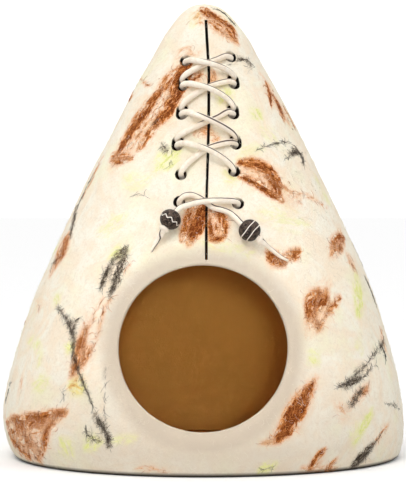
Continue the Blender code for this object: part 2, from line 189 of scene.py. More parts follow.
# %% Lace route: values
LACE_RADIUS, LACE_SQUEEZED = 3.1 * MM, 2.75 * MM        # it is squeezed where it goes through a hole
LACE_CLEAR = 0.9 * MM                                   # elsewhere it is held this far off the felt
EDGE_RUN, EDGE_TURN, EDGE_DROP, HOLE_PUSH = 6.4 * MM, 0.9 * MM, 2.05 * MM, 0.6 * MM    # at a hole's edge
OVER_HUMP, HUMP_SHAPE, LIFT_RISE = 8.2 * MM, 1.2, 0.46  # how the over strand clears the under strand
BAR_DEPTH, BAR_SHAPE, BAR_START, BAR_TURN, BAR_SAG = 7.4 * MM, 0.5, 0.5, 0.15, 1.5 * MM    # behind the slit
RUN_SHARES, BAR_SHARES = (0.3, 0.5, 0.7), (0.25, 0.5, 0.75)
UPPER, LOWER, TOP_ROW, LEVEL = 4.2 * MM, -2.4 * MM, -1.5 * MM, 0.0      # a strand's height in its hole
UPWARD, DOWNWARD = Vector((0.0, 1.0)), Vector((0.0, -1.0))
OUT_OF_R6, OUT_OF_L6 = Vector((-1.0, 0.1)), Vector((0.8, 0.6))

HoleRow = namedtuple("HoleRow", "left_x left_z right_x right_z tall")
HOLE_ROWS = [
    HoleRow(-17.9, 413.4, 28.4, 417.9, 11.4), HoleRow(-20.9, 389.9, 31.4, 392.2, 17.4),
    HoleRow(-21.4, 360.7, 30.6, 361.0, 17.0), HoleRow(-25.8, 328.8, 33.0, 330.0, 16.4),
    HoleRow(-22.2, 297.1, 31.3, 300.2, 11.4), HoleRow(-23.8, 269.4, 35.1, 267.9, 11.4),
]
HOLE_WIDTH = 11.2 * MM
Run = namedtuple("Run", "over_bend under_bend")
RUNS = [Run(2.0, 1.5), Run(2.3, 2.1), Run(1.7, 1.25), Run(2.3, 2.3)]

BEAD_BORE, BEAD_STRAIGHT = 3.6 * MM, 0.6 * MM
Bead = namedtuple("Bead", "name x z lift radius half_length slope")
BEAD_LEFT = Bead("bead_left", -30.3, 247.4, 11.3, 10.7, 9.4, 56.0)
BEAD_RIGHT = Bead("bead_right", 43.3, 236.0, 13.0, 11.0, 10.2, 139.0)

Free = namedtuple("Free", "x z lift radius")
LEFT_TAIL = [
    Free(-51.0, 218.6, 2.0, 0.9), Free(-49.2, 222.0, 2.6, 1.6), Free(-45.6, 227.4, 3.8, 2.5),
    Free(-42.0, 231.6, 6.0, 2.7), Free(-40.2, 233.4, 7.8, 4.0), Free(-38.6, 235.2, 9.4, 5.4),
    Free(-37.4, 237.0, 10.4, 3.6),
]
LEFT_TWIST = [
    Free(-20.6, 260.4, 8.4, 3.1), Free(-13.0, 263.2, 8.2, 3.1), Free(-4.6, 264.8, 10.4, 3.1),
    Free(3.6, 265.8, 10.9, 3.1), Free(12.0, 267.0, 9.0, 3.1),
]
RIGHT_TWIST = [
    Free(-11.6, 274.6, 4.0, 3.1), Free(-4.6, 272.2, 3.8, 3.1), Free(3.0, 267.4, 3.8, 3.1),
    Free(9.8, 262.2, 3.8, 3.1), Free(18.0, 260.0, 3.9, 3.1), Free(25.0, 257.0, 5.0, 3.1),
    Free(30.4, 250.4, 9.6, 3.1),
]
RIGHT_TAIL = [
    Free(53.4, 226.8, 12.0, 3.2), Free(55.0, 225.8, 11.2, 4.8), Free(57.0, 224.9, 10.0, 3.0),
    Free(60.6, 223.4, 7.8, 2.1), Free(67.2, 219.5, 4.8, 2.0), Free(75.5, 213.8, 3.2, 1.9),
    Free(83.9, 209.5, 2.4, 1.3),
]
HOLES = {}
for number, row in enumerate(HOLE_ROWS, start=1):
    HOLES[f"L{number}"] = (row.left_x * MM, row.left_z * MM, row.tall * MM)
    HOLES[f"R{number}"] = (row.right_x * MM, row.right_z * MM, row.tall * MM)
print("holes:", ", ".join(sorted(HOLES)))


# %% Lace route: through a hole, in front and behind
def strand_place(hole, height):
    x, z, _tall = HOLES[hole]
    return x, z + height


def pass_through(place, outside, inside, deeper=0.0):
    """Route points of one strand through a hole, from outside to inside the felt."""
    x, z = place
    outside, inside = Vector(outside).normalized(), Vector(inside).normalized()
    over = LACE_RADIUS + LACE_CLEAR
    push = (outside + inside) * HOLE_PUSH
    inner_turn = EDGE_DROP - over - WALL - BAR_TURN * deeper
    return [
        (x + outside.x * EDGE_RUN, z + outside.y * EDGE_RUN, over, LACE_RADIUS),
        (x + outside.x * EDGE_TURN, z + outside.y * EDGE_TURN, over - EDGE_DROP, LACE_SQUEEZED),
        (x - push.x, z - push.y, -WALL / 2, LACE_SQUEEZED),
        (x + inside.x * EDGE_TURN, z + inside.y * EDGE_TURN, inner_turn, LACE_SQUEEZED),
        (x + inside.x * EDGE_RUN, z + inside.y * EDGE_RUN, -over - WALL - BAR_START * deeper, LACE_RADIUS),
    ]


def run_heading(start, end, bend):
    return Vector((start[0] - end[0], bend * (start[1] - end[1])))


def outside_run(start, end, bend, hump):
    """The middle points of a crossing in front: level at first, then bending down to its lower hole."""
    rows = []
    for share in RUN_SHARES:
        x = start[0] + (end[0] - start[0]) * share
        z = start[1] + (end[1] - start[1]) * share ** bend
        rise = hump * math.sin(math.pi * share) ** HUMP_SHAPE
        rows.append((x, z - LIFT_RISE * rise, LACE_RADIUS + LACE_CLEAR + rise, LACE_RADIUS))
    return rows


def inside_bar(start, end, deeper):
    """The middle points of a crossing behind the slit."""
    rows = []
    for share in BAR_SHARES:
        x = start[0] + (end[0] - start[0]) * share
        z = start[1] + (end[1] - start[1]) * share
        swing = math.sin(math.pi * share)
        depth = LACE_RADIUS + LACE_CLEAR + WALL + BAR_SAG * swing + deeper * swing ** BAR_SHAPE
        rows.append((x, z, -depth, LACE_RADIUS))
    return rows


# %% Lace route: the laced part
OVER_RUNS = [("R5", "L4"), ("R4", "L3"), ("R3", "L2"), ("R2", "L1")]      # lower hole, upper hole
UNDER_RUNS = [("R1", "L2"), ("R2", "L3"), ("R3", "L4"), ("R4", "L5")]     # upper hole, lower hole


def side_of(hole):
    return Vector((1.0, 0.0)) if hole.startswith("L") else Vector((-1.0, 0.0))


def over_rows():
    """The strand that crosses over the other one, from the foot of the lacing to its top."""
    rows = []
    for number, (low, high) in enumerate(OVER_RUNS):
        low_place = strand_place(low, LEVEL if low == "R5" else UPPER)
        high_place = strand_place(high, TOP_ROW if high == "L1" else LOWER)
        bend = RUNS[-1 - number].over_bend
        arriving = run_heading(high_place, low_place, bend)
        rows += reversed(pass_through(low_place, arriving, DOWNWARD if low == "R5" else side_of(low)))
        rows += reversed(outside_run(high_place, low_place, bend, OVER_HUMP))
        rows += pass_through(high_place, side_of(high), side_of(high))
        if number + 1 < len(OVER_RUNS):
            rows += inside_bar(high_place, strand_place(OVER_RUNS[number + 1][0], UPPER), 0.0)
    return rows


def under_rows():
    """The strand that crosses under the other one, from the top of the lacing to its foot."""
    rows = []
    for number, (high, low) in enumerate(UNDER_RUNS):
        high_place = strand_place(high, TOP_ROW if high == "R1" else LOWER)
        low_place = strand_place(low, LEVEL if low == "L5" else UPPER)
        bend = RUNS[number].under_bend
        arriving = run_heading(high_place, low_place, bend)
        inside = DOWNWARD if low == "L5" else side_of(low)
        high_deeper, low_deeper = (0.0 if hole in ("R1", "L5") else BAR_DEPTH for hole in (high, low))
        rows += reversed(pass_through(high_place, side_of(high), side_of(high), high_deeper))
        rows += outside_run(high_place, low_place, bend, 0.0)
        rows += pass_through(low_place, arriving, inside, low_deeper)
        if number + 1 < len(UNDER_RUNS):
            rows += inside_bar(low_place, strand_place(UNDER_RUNS[number + 1][0], LOWER), BAR_DEPTH)
    return rows


def laced_rows():
    """The held part of the route: up the over strand from R6, then down the under strand to L6."""
    rows = pass_through(strand_place("R6", LEVEL), OUT_OF_R6, UPWARD) + over_rows()
    rows += inside_bar(strand_place("L1", TOP_ROW), strand_place("R1", TOP_ROW), 0.0) + under_rows()
    return rows + pass_through(strand_place("L6", LEVEL), OUT_OF_L6, UPWARD)[::-1]


print("laced part:", len(laced_rows()), "route points")


# %% Lace route: from end to end
LACE_STEP = 1.5 * MM


def free_points(rows):
    return [(*felt_point(row.x * MM, row.z * MM, row.lift * MM), row.radius * MM) for row in rows]


def bead_place(bead):
    """The middle of a bead and the direction of its bore, which points up the front."""
    x, z, lift = bead.x * MM, bead.z * MM, bead.lift * MM
    reach, slope = bead.half_length * MM, math.radians(bead.slope)
    across, upward = math.cos(slope) * reach, math.sin(slope) * reach
    axis = felt_point(x + across, z + upward, lift) - felt_point(x - across, z - upward, lift)
    return felt_point(x, z, lift), axis.normalized()


def bead_points(bead, heading):
    middle, axis = bead_place(bead)
    reach = bead.half_length * MM + BEAD_STRAIGHT
    shares = (-heading, -0.5 * heading, 0.5 * heading, heading)
    return [(*(middle + axis * reach * share), LACE_RADIUS) for share in shares]


def lace_route():
    """The whole lace from its left end to its right end: rows of x, y, z and radius."""
    held = [(*felt_point(x, z, lift), radius) for x, z, lift, radius in laced_rows()]
    route = free_points(LEFT_TAIL) + bead_points(BEAD_LEFT, 1) + free_points(LEFT_TWIST) + held
    route += free_points(RIGHT_TWIST) + bead_points(BEAD_RIGHT, -1) + free_points(RIGHT_TAIL)
    return smooth_curve(route)


ROUTE = spaced(lace_route(), LACE_STEP)

# %% [markdown]
# ## The lace
# The real lace is a soft strip of pale fabric whose edges curl together, so it reads as a smooth round cord
# with one thin dark seam. A curve with a bevel would give a perfect pipe. Here a grid is wrapped round the
# route instead, one column of vertices for each side, so the seam can be pressed in and the cord can be a
# little uneven. The direction of the seam follows the felt: it lies at the upper edge of every strand that
# shows.

# %% Mesh helpers
def triangles(mesh):
    return sum(len(polygon.vertices) - 2 for polygon in mesh.polygons)


def spin_outline(bm, places, steps, closed=False):
    """An outline of places, spun once round the Z axis."""
    outline = [bm.verts.new(place) for place in places]
    following = outline[1:] + outline[:1] if closed else outline[1:]
    edges = [bm.edges.new(pair) for pair in zip(outline, following)]
    bmesh.ops.spin(
        bm, geom=outline + edges, cent=(0, 0, 0), axis=(0, 0, 1), angle=2 * math.pi, steps=steps,
        use_merge=True,
    )


def finished_mesh(bm, name):
    mesh = bpy.data.meshes.new(name)
    bm.to_mesh(mesh)
    bm.free()
    mesh.shade_smooth()
    return mesh


def add_piece(name, mesh, material=None):
    piece = bpy.data.objects.new(name, mesh)
    bpy.context.scene.collection.objects.link(piece)
    if material:
        mesh.materials.append(material)
    return piece


def carried_frames(path):
    """A direction across the path at each point, carried along without twisting."""
    points = [Vector(p) for p in path]
    last = len(points) - 1
    headings = [(points[min(i + 1, last)] - points[max(i - 1, 0)]).normalized() for i in range(last + 1)]
    across = headings[0].orthogonal().normalized()
    found = []
    for heading in headings:
        across = (across - heading * across.dot(heading)).normalized()
        found.append((heading, across, heading.cross(across)))
    return found


# %% Lace: where its seam lies
# Degrees between the seam and the felt's outward direction: below the laced rows, where it also wanders, and
# in the laced rows on the left, on the right and in the third row.
SEAM_LIFT, SEAM_WANDER = 44.0, 30.0
SEAM_HIDDEN, SEAM_SHOWN, SEAM_MIDDLE = 104.0, 36.0, 8.0
SEAM_TURNS, THIRD_ROW = (-13.0, 4.0), (318.0, 330.0, 352.0, 366.0)  # mm across and up where these change
TAIL_SEAM, TAIL_LIFTS = 25.0 * MM, (76.0, 34.0)         # near the cord's ends it lies steadily at one edge
LACED_FROM, FELT_TOP = 285.0 * MM, 0.45
SEAM_BLUR = np.exp(-0.5 * (np.arange(-12, 13) / 4.5) ** 2)  # smooths the seam along the cord


def seam_angles(path, frames):
    """Where the seam lies round each ring: near the cord's upper edge, and smoothed along the cord."""
    pull = np.zeros(len(path), dtype=complex)
    for i, (place, (heading, across, other)) in enumerate(zip(path, frames)):
        x, z = place[0], place[2]
        outward = front_normal(x, min(z, FELT_TOP))
        upper = outward.cross(heading)
        if upper.z < 0.0 or (abs(upper.z) < 0.25 and upper.x < 0.0):
            upper = -upper
        flat = 1.0 - abs(heading.dot(outward))
        if i * LACE_STEP < TAIL_SEAM:
            upper, lift = -upper, TAIL_LIFTS[0]
        elif (len(path) - 1 - i) * LACE_STEP < TAIL_SEAM:
            lift = TAIL_LIFTS[1]
        elif z < LACED_FROM:
            lift = SEAM_LIFT + SEAM_WANDER * noise.noise(Vector(place) * 22.0)
        else:
            shown = np.interp(z / MM, THIRD_ROW, (SEAM_SHOWN, SEAM_MIDDLE, SEAM_MIDDLE, SEAM_SHOWN))
            lift = np.interp(x / MM, SEAM_TURNS, (SEAM_HIDDEN, shown))
        lift = math.radians(lift)
        wanted = outward * math.cos(lift) + upper.normalized() * math.sin(lift)
        pull[i] = max(flat, 0.02) ** 3 * np.exp(1j * math.atan2(wanted.dot(other), wanted.dot(across)))
    return np.unwrap(np.angle(np.convolve(pull, SEAM_BLUR, mode="same")))


# %% Lace: mesh
LACE_SIDES, LACE_UNEVEN = 20, 0.05
SEAM_DEPTH, SEAM_HALF = 0.7 * MM, 0.2       # depth, and half width in radians


def make_tube(name, path, radii, sides, seam, uneven):
    """A closed tube: a grid is wrapped round a path, its long edges are joined and its ends filled."""
    frames = carried_frames(path)
    bm = bmesh.new()
    bm.loops.layers.uv.new("UVMap")
    bmesh.ops.create_grid(bm, x_segments=sides, y_segments=len(path) - 1, size=1.0, calc_uvs=True)
    for vert in bm.verts:
        ring = round((vert.co.y + 1.0) / 2.0 * (len(path) - 1))
        turn = (vert.co.x + 1.0) * math.pi
        from_seam = math.remainder(turn - math.pi, 2 * math.pi) / SEAM_HALF
        radius = radii[ring]
        radius -= min(SEAM_DEPTH, 0.2 * radius) * math.exp(-(from_seam ** 2) / 2)
        turn += seam[ring] - math.pi
        _heading, across, other = frames[ring]
        place = Vector(path[ring])
        radius *= 1.0 + uneven * noise.noise(place * 160.0 + Vector((0, 0, math.cos(turn))))
        vert.co = place + (across * math.cos(turn) + other * math.sin(turn)) * radius
    bmesh.ops.remove_doubles(bm, verts=bm.verts, dist=1e-6)
    bmesh.ops.holes_fill(bm, edges=[edge for edge in bm.edges if edge.is_boundary], sides=sides + 1)
    bmesh.ops.recalc_face_normals(bm, faces=bm.faces)
    return add_piece(name, finished_mesh(bm, name))


LACE_PATH, LACE_RADII = ROUTE[:, :3], np.minimum(ROUTE[:, 3], LACE_RADIUS)
LACE_SEAM = seam_angles(LACE_PATH, carried_frames(LACE_PATH))
lace = make_tube("lace_cord", LACE_PATH, LACE_RADII, LACE_SIDES, LACE_SEAM, LACE_UNEVEN)
print("lace mesh:", len(lace.data.polygons), "faces")

# %% [markdown]
# ## The stopper knots
# Under each bead the cord is wrapped once round itself, which makes a collar too wide for the bead's bore.
# The wrap is a tube of its own along a short helix round the cord, with its ends tucked in at the back. Its
# seam faces inwards, so its dark line also serves as painted shade where the wrap meets the cord.

# %% Knots: mesh
Knot = namedtuple("Knot", "name bead beyond reach thickness pitch turns")
KNOTS = [
    Knot("left_knot", BEAD_LEFT, 2.6, 3.0, 2.3, 1.6, 1.3),
    Knot("right_knot", BEAD_RIGHT, 3.2, 2.3, 2.2, 2.6, 1.5),
]
KNOT_POINTS, KNOT_SIDES, KNOT_UNEVEN = 44, 16, 0.06
TUCKED_FROM, TUCKED_IN, TUCKED_THIN = 0.42, 0.55, 0.45      # the ends lie closer in and are thinner


def make_knot(knot):
    bead_middle, axis = bead_place(knot.bead)
    middle = bead_middle - axis * (knot.bead.half_length + knot.beyond) * MM
    nearest = int(np.linalg.norm(LACE_PATH - np.array(middle), axis=1).argmin())
    middle = Vector(LACE_PATH[nearest])
    outward = front_normal(middle.x, middle.z)
    outward = (outward - axis * outward.dot(axis)).normalized()
    side = axis.cross(outward)
    path, inwards, radii = [], [], []
    for step in range(KNOT_POINTS):
        turn = knot.turns * (step / (KNOT_POINTS - 1) - 0.5)
        tucked = max(0.0, abs(turn) - TUCKED_FROM) / (knot.turns / 2 - TUCKED_FROM)
        way = outward * math.cos(2 * math.pi * turn) + side * math.sin(2 * math.pi * turn)
        beside = way * knot.reach * MM * (1.0 - TUCKED_IN * tucked)
        path.append(middle + axis * knot.pitch * MM * turn + beside)
        inwards.append(-way)
        radii.append(knot.thickness * MM * (1.0 - TUCKED_THIN * tucked))
    # the seam is turned inwards, so its dark line also lies as painted shade where the wrap meets the cord
    seam = [
        math.atan2(way.dot(other), way.dot(across))
        for way, (_heading, across, other) in zip(inwards, carried_frames(path))
    ]
    return make_tube(knot.name, path, radii, KNOT_SIDES, np.unwrap(seam), KNOT_UNEVEN)


knots = [make_knot(knot) for knot in KNOTS]
print("knots:", [len(piece.data.polygons) for piece in knots], "faces")

# %% [markdown]
# ## The beads
# Each real bead is hand-rolled dark clay with a pale pattern scratched into it: a zigzag round the left one
# and rings round the right one. A half outline is spun about the bore, with enough columns that the grooves
# can be pressed into the surface. An attribute called line says where the white filling of a groove lies.

# %% Beads: scratched lines
GROOVE_DEPTH, GROOVE_HALF = 0.38 * MM, 0.55 * MM
ZIGZAG_TURNS, ZIGZAG_REACH, ZIGZAG_PLACE = 9, 1.5 * MM, -1.2 * MM
RING_PLACES = (-4.3 * MM, 2.1 * MM)


def zigzag_distance(turn, height, radius):
    """How far a place on the left bead is from its zigzag line."""
    wave = math.asin(0.95 * math.cos(turn * ZIGZAG_TURNS)) / (math.pi / 2) * ZIGZAG_REACH
    wave += ZIGZAG_PLACE + 0.3 * MM * math.sin(3.0 * turn + 1.0)
    steep = 4.0 * ZIGZAG_REACH / (2 * math.pi * radius / ZIGZAG_TURNS)
    return abs(height - wave) / math.hypot(1.0, steep)


def rings_distance(turn, height, radius):
    """How far a place on the right bead is from its nearest ring. A ring wanders, as scratched lines do."""
    wander = 0.18 * MM * math.sin(2.0 * turn + 0.6) + 0.12 * MM * math.sin(5.0 * turn)
    return min(abs(height - place - wander) for place in RING_PLACES)


# %% Beads: mesh
BEAD_RINGS, BEAD_SIDES = 96, 144
BEAD_UNEVEN = 0.012


def make_bead(name, bead, distance):
    radius, half_length = bead.radius * MM, bead.half_length * MM
    end_angle = math.acos(BEAD_BORE / radius)
    angles = [end_angle * (2.0 * step / BEAD_RINGS - 1.0) for step in range(BEAD_RINGS + 1)]
    tall = half_length / math.sin(end_angle)
    places = [(radius * math.cos(angle), 0.0, tall * math.sin(angle)) for angle in angles]
    bm = bmesh.new()
    spin_outline(bm, places, BEAD_SIDES, closed=True)
    bmesh.ops.recalc_face_normals(bm, faces=bm.faces)
    line = bm.verts.layers.float.new("line")
    middle, axis = bead_place(bead)
    place = Matrix.Translation(middle) @ axis.to_track_quat("Z", "Y").to_matrix().to_4x4()
    for vert in bm.verts:
        flat = math.hypot(vert.co.x, vert.co.y)
        if flat > BEAD_BORE * 1.05:
            away = distance(math.atan2(vert.co.y, vert.co.x), vert.co.z, radius)
            vert[line] = math.exp(-((away / GROOVE_HALF) ** 2))
            bump = 1.0 + BEAD_UNEVEN * noise.noise(vert.co * 260.0) - GROOVE_DEPTH / radius * vert[line]
            vert.co = Vector((vert.co.x * bump, vert.co.y * bump, vert.co.z))
    bmesh.ops.transform(bm, matrix=place, verts=bm.verts)
    return add_piece(name, finished_mesh(bm, name))


beads = [
    make_bead("left_clay_bead", BEAD_LEFT, zigzag_distance),
    make_bead("right_clay_bead", BEAD_RIGHT, rings_distance),
]
print("beads:", [len(piece.data.polygons) for piece in beads], "faces")

# %% [markdown]
# ## The felt shell
# A real cave is felted round a flat pattern or a ball, so it has no seams at all. Its profile is spun once
# round, the columns are drawn together at the front where all of the detail is, and the openings are cut
# along exact outlines: every edge that crosses an outline is split there, the new points are joined and the
# inside is deleted. Then all of it gets the thickness of the wall, and the cut edges are rounded as a soft
# felt edge is.

# %% Shell: openings as distances
ENTRANCE_WIDTH, ENTRANCE_HEIGHT, ENTRANCE_MIDDLE = 165.0 * MM, 161.5 * MM, 126.5 * MM
FLARE = 2.8 * MM        # the curved wall leans this far into the opening at its sides, behind its outer edge
SLIT_WIDTH = 2.7 * MM
SlitPoint = namedtuple("SlitPoint", "height x")
SLIT_LINE = [
    SlitPoint(212.5, 3.3), SlitPoint(251.1, 3.3), SlitPoint(280.9, 3.8), SlitPoint(308.1, 4.7),
    SlitPoint(346.7, 5.8), SlitPoint(404.6, 6.0), SlitPoint(435.0, 4.1), SlitPoint(456.5, 3.0),
]
RIM_ROUND, HOLE_ROUND, SLIT_ROUND = WALL / 2, 1.2 * MM, 0.15 * MM   # how far each cut edge swells


def slit_x(z):
    return float(np.interp(z, [p.height * MM for p in SLIT_LINE], [p.x * MM for p in SLIT_LINE]))


def entrance_distance(co):
    """Signed distance to the entrance's edge, in metres, below zero inside."""
    wide, tall = ENTRANCE_WIDTH / 2 + RIM_ROUND + FLARE, ENTRANCE_HEIGHT / 2 + RIM_ROUND
    x, z = co.x, co.z - ENTRANCE_MIDDLE
    reach = math.hypot(x / wide, z / tall)
    slope = math.hypot(x / wide ** 2, z / tall ** 2)
    return (reach - 1.0) * reach / slope if slope > 1e-9 else -tall


def slit_distance(co):
    side = abs(co.x - slit_x(co.z)) - SLIT_WIDTH / 2 - SLIT_ROUND
    return max(side, co.z - SLIT_LINE[-1].height * MM, SLIT_LINE[0].height * MM - co.z)


def hole_distance(name):
    x, z, tall = HOLES[name]
    middle, outward = front_point(x, z), front_normal(x, z)
    across = Vector((0, 0, 1)).cross(outward).normalized()
    upward = outward.cross(across)
    straight = (tall - HOLE_WIDTH) / 2

    def distance(co):
        away = co - middle
        beyond = max(0.0, abs(away.dot(upward)) - straight)
        return math.hypot(away.dot(across), beyond) - HOLE_WIDTH / 2 - HOLE_ROUND

    return distance


# %% Shell: surface
COLUMNS, FRONT_PULL = 168, 0.62
RingStep = namedtuple("RingStep", "height step")
RING_STEPS = [
    RingStep(0.0, 14.0), RingStep(0.05, 1.1), RingStep(5.0, 1.3), RingStep(9.0, 4.4),
    RingStep(208.0, 4.4), RingStep(250.0, 3.0), RingStep(258.0, 2.0), RingStep(424.0, 2.0),
    RingStep(432.0, 3.0), RingStep(475.4, 3.4),
]
NARROWEST = 2.0 * MM                            # no ring is narrower than this, apart from the tip itself
FOLLOW_FROM, FOLLOW_HALF = 150.0 * MM, 4.0 * MM     # above this the front column follows the slit


def ring_rows():
    """Rings of the form from the middle of the floor to the tip, close together where the lace holes are."""
    rows = [(0.0, 0.0, 0.0), (PROFILE[0, 0] * 0.5, 0.0, 0.0)]
    heights, steps = [row.height * MM for row in RING_STEPS], [row.step * MM for row in RING_STEPS]
    travelled = steps[1]
    for a, b in zip(PROFILE[:-1], PROFILE[1:]):
        travelled += np.linalg.norm(b[:2] - a[:2])
        if travelled >= np.interp(a[1], heights, steps) and b[0] > NARROWEST:
            rows.append(tuple(b))
            travelled = 0.0
    return rows + [tuple(PROFILE[-1])]


def turned_to_slit(half, height, turn):
    """The angle of a column at a height. The front column follows the slit, and its neighbours go with it."""
    if half > FOLLOW_HALF and height > FOLLOW_FROM:
        shift = math.asin(max(-0.5, min(0.5, (slit_x(height) - lean_at(height)) / half)))
        turn += shift * math.cos(turn / 2) ** 12
    return turn


def spun_form():
    bm = bmesh.new()
    spin_outline(bm, [(half, 0.0, height) for half, height, _lean in ring_rows()], COLUMNS)
    bmesh.ops.remove_doubles(bm, verts=bm.verts, dist=1e-6)
    for vert in bm.verts:
        half = math.hypot(vert.co.x, vert.co.y)
        turn = math.remainder(math.atan2(vert.co.y, vert.co.x) + math.pi / 2, 2 * math.pi)
        turn -= FRONT_PULL * math.sin(turn)
        vert.co = form_point(half, vert.co.z, turned_to_slit(half, vert.co.z, turn))
    bmesh.ops.recalc_face_normals(bm, faces=bm.faces)
    return bm


print("shell rings:", len(ring_rows()))


# %% Shell: cutting along an outline
FRONT_BEFORE, FRONT_ABOVE = -5.0 * MM, 20.0 * MM    # only points in front of this and above it can be cut
HALVINGS = 14                                       # steps that find where an edge crosses an outline


def drawn_to(co, distance, step=0.1 * MM):
    """A point moved along the front until its distance to an outline is nothing."""

    def away(x, z):
        return distance(front_point(x, z))

    for _ in range(3):
        value = distance(co)
        side = (away(co.x + step, co.z) - away(co.x - step, co.z)) / (2 * step)
        rise = (away(co.x, co.z + step) - away(co.x, co.z - step)) / (2 * step)
        slope = max(side * side + rise * rise, 0.25)
        co = front_point(co.x - value * side / slope, co.z - value * rise / slope)
    return co


def snapped_to(bm, distance, snap):
    """Each front point's distance to an outline, after the points that are close by are moved on to it."""
    front = [vert for vert in bm.verts if vert.co.y < FRONT_BEFORE and vert.co.z > FRONT_ABOVE]
    values = {vert: distance(vert.co) for vert in front}
    for vert, value in values.items():
        if abs(value) < min(snap, 0.3 * min(edge.calc_length() for edge in vert.link_edges)):
            vert.co = drawn_to(vert.co, distance)
            values[vert] = 0.0
    return values


def split_at(bm, distance, values):
    """Splits every edge that crosses an outline. Each new point lies on the outline."""
    crossing = [edge for edge in bm.edges if all(vert in values for vert in edge.verts)]
    for edge in [edge for edge in crossing if values[edge.verts[0]] * values[edge.verts[1]] < 0.0]:
        start, end = edge.verts
        a, b = start.co.copy(), end.co.copy()
        low, high = 0.0, 1.0
        for _ in range(HALVINGS):
            middle = (low + high) / 2
            if distance(a.lerp(b, middle)) * values[start] > 0.0:
                low = middle
            else:
                high = middle
        _edge, vert = bmesh.utils.edge_split(edge, start, low)
        vert.co = front_point(*a.lerp(b, low).xz)
        values[vert] = 0.0


def way_into(vert):
    """The direction along the felt in which a point of a cut edge faces its opening."""
    way = Vector()
    for edge in vert.link_edges:
        if edge.is_boundary:
            face = edge.link_faces[0]
            out = (edge.verts[0].co + edge.verts[1].co) / 2 - face.calc_center_median()
            along = (edge.verts[1].co - edge.verts[0].co).normalized()
            out -= along * out.dot(along)
            way += (out - face.normal * out.dot(face.normal)).normalized()
    return way.normalized() if way.length > 1e-6 else Vector()


def cut_open(bm, distance, snap, swell, into):
    """Deletes the front inside an outline, leaves a clean edge on it and says how many points it has."""
    values = snapped_to(bm, distance, snap)
    split_at(bm, distance, values)
    rim = [vert for vert, value in values.items() if value == 0.0]
    bmesh.ops.connect_verts(bm, verts=rim)
    inside = []
    for face in bm.faces:
        if all(vert in values for vert in face.verts):
            lowest = min(values[vert] for vert in face.verts)
            if lowest < 0.0 or (lowest == 0.0 and distance(face.calc_center_median()) < 0.0):
                inside.append(face)
    bmesh.ops.delete(bm, geom=inside, context="FACES")
    for vert in rim:
        if vert.is_valid:
            vert[into] = way_into(vert) * swell
    return len(rim)


# %% Shell: thickness and rounded edges
RIM_CUTS = 5
ENTRANCE_SNAP, SLIT_SNAP, HOLE_SNAP = 0.9 * MM, 0.45 * MM, 0.4 * MM     # a point this close moves on to it
ROLL_REACH, ROLL_DEPTH = 17.0 * MM, 3.2 * MM    # the felt beside the entrance rolls inwards
SLIT_CLOSE = 1.2 * MM                           # each side of the slit leans towards the other on the inside
LUMPS = [(14.0, 1.1 * MM), (45.0, 0.35 * MM)]   # noise scale and height of the unevenness of hand felting
LUMPS_FROM = 30.0 * MM                          # the unevenness fades out below this height
TUCK, TUCK_BELOW = 9.0 * MM, 46.0 * MM          # the left side of the foot is felted rounder than the right


def lump(place):
    return sum(noise.noise(place * scale) * height for scale, height in LUMPS)


def foot_tuck(place):
    """How far the foot is drawn in to the right at a place: most at the far left and down on the floor."""
    low = clamped(1.0 - place.z / TUCK_BELOW)
    left = clamped(-place.x / half_width_at(max(place.z, 0.0)))
    return TUCK * low ** 1.5 * left ** 2


def thicken(bm, into, inward, skin):
    """Adds the inner skin and the wall between the two, whose edges swell. Skin is 0 outside and 1 inside."""
    skinned = bmesh.ops.extrude_face_region(bm, geom=bm.faces[:], use_keep_orig=True)["geom"]
    outer = {item for item in skinned if isinstance(item, bmesh.types.BMVert)}
    for vert in bm.verts:
        if vert not in outer:
            vert.co += vert[inward]
            vert[skin] = 1.0
    across = [edge for edge in bm.edges if edge.verts[0][skin] != edge.verts[1][skin]]
    bmesh.ops.subdivide_edges(bm, edges=across, cuts=RIM_CUTS, use_grid_fill=True)
    for vert in bm.verts:
        depth = vert[skin]
        if 0.0 < depth < 1.0:
            eased = (1.0 - math.cos(math.pi * depth)) / 2
            vert.co += vert[inward] * (eased - depth) + vert[into] * math.sin(math.pi * depth)
    bmesh.ops.recalc_face_normals(bm, faces=bm.faces)


def make_shell():
    bm = spun_form()
    into = bm.verts.layers.float_vector.new("into")
    inward = bm.verts.layers.float_vector.new("inward")
    skin = bm.verts.layers.float.new("skin")
    bm.normal_update()
    print("entrance edge:", cut_open(bm, entrance_distance, ENTRANCE_SNAP, RIM_ROUND, into), "points")
    for name in HOLES:
        cut_open(bm, hole_distance(name), HOLE_SNAP, HOLE_ROUND, into)
    print("slit edge:", cut_open(bm, slit_distance, SLIT_SNAP, SLIT_ROUND, into), "points")
    slit_side = [vert for vert in bm.verts if vert.co.y < 0.0 and abs(slit_distance(vert.co)) < 1e-5]
    bmesh.ops.delete(bm, geom=[vert for vert in bm.verts if not vert.link_faces], context="VERTS")
    bm.normal_update()
    for vert in bm.verts:
        if vert.co.y < 0.0:
            near = clamped(1.0 - entrance_distance(vert.co) / ROLL_REACH)
            vert.co -= vert.normal * ROLL_DEPTH * near * near
    bm.normal_update()
    for vert in bm.verts:
        vert[inward] = vert.normal * -WALL
    for vert in slit_side:
        if vert.is_valid and vert[into].length > 0.0:
            vert[inward] += Vector((math.copysign(SLIT_CLOSE, vert[into].x), 0.0, 0.0))
    thicken(bm, into, inward, skin)
    for vert in bm.verts:
        vert.co -= vert[inward].normalized() * lump(vert.co) * clamped(vert.co.z / LUMPS_FROM) ** 2
        vert.co.x += foot_tuck(vert.co)
    return add_piece("felt_cave", finished_mesh(bm, "felt_cave"))


shell = make_shell()
print("shell:", triangles(shell.data), "triangles")
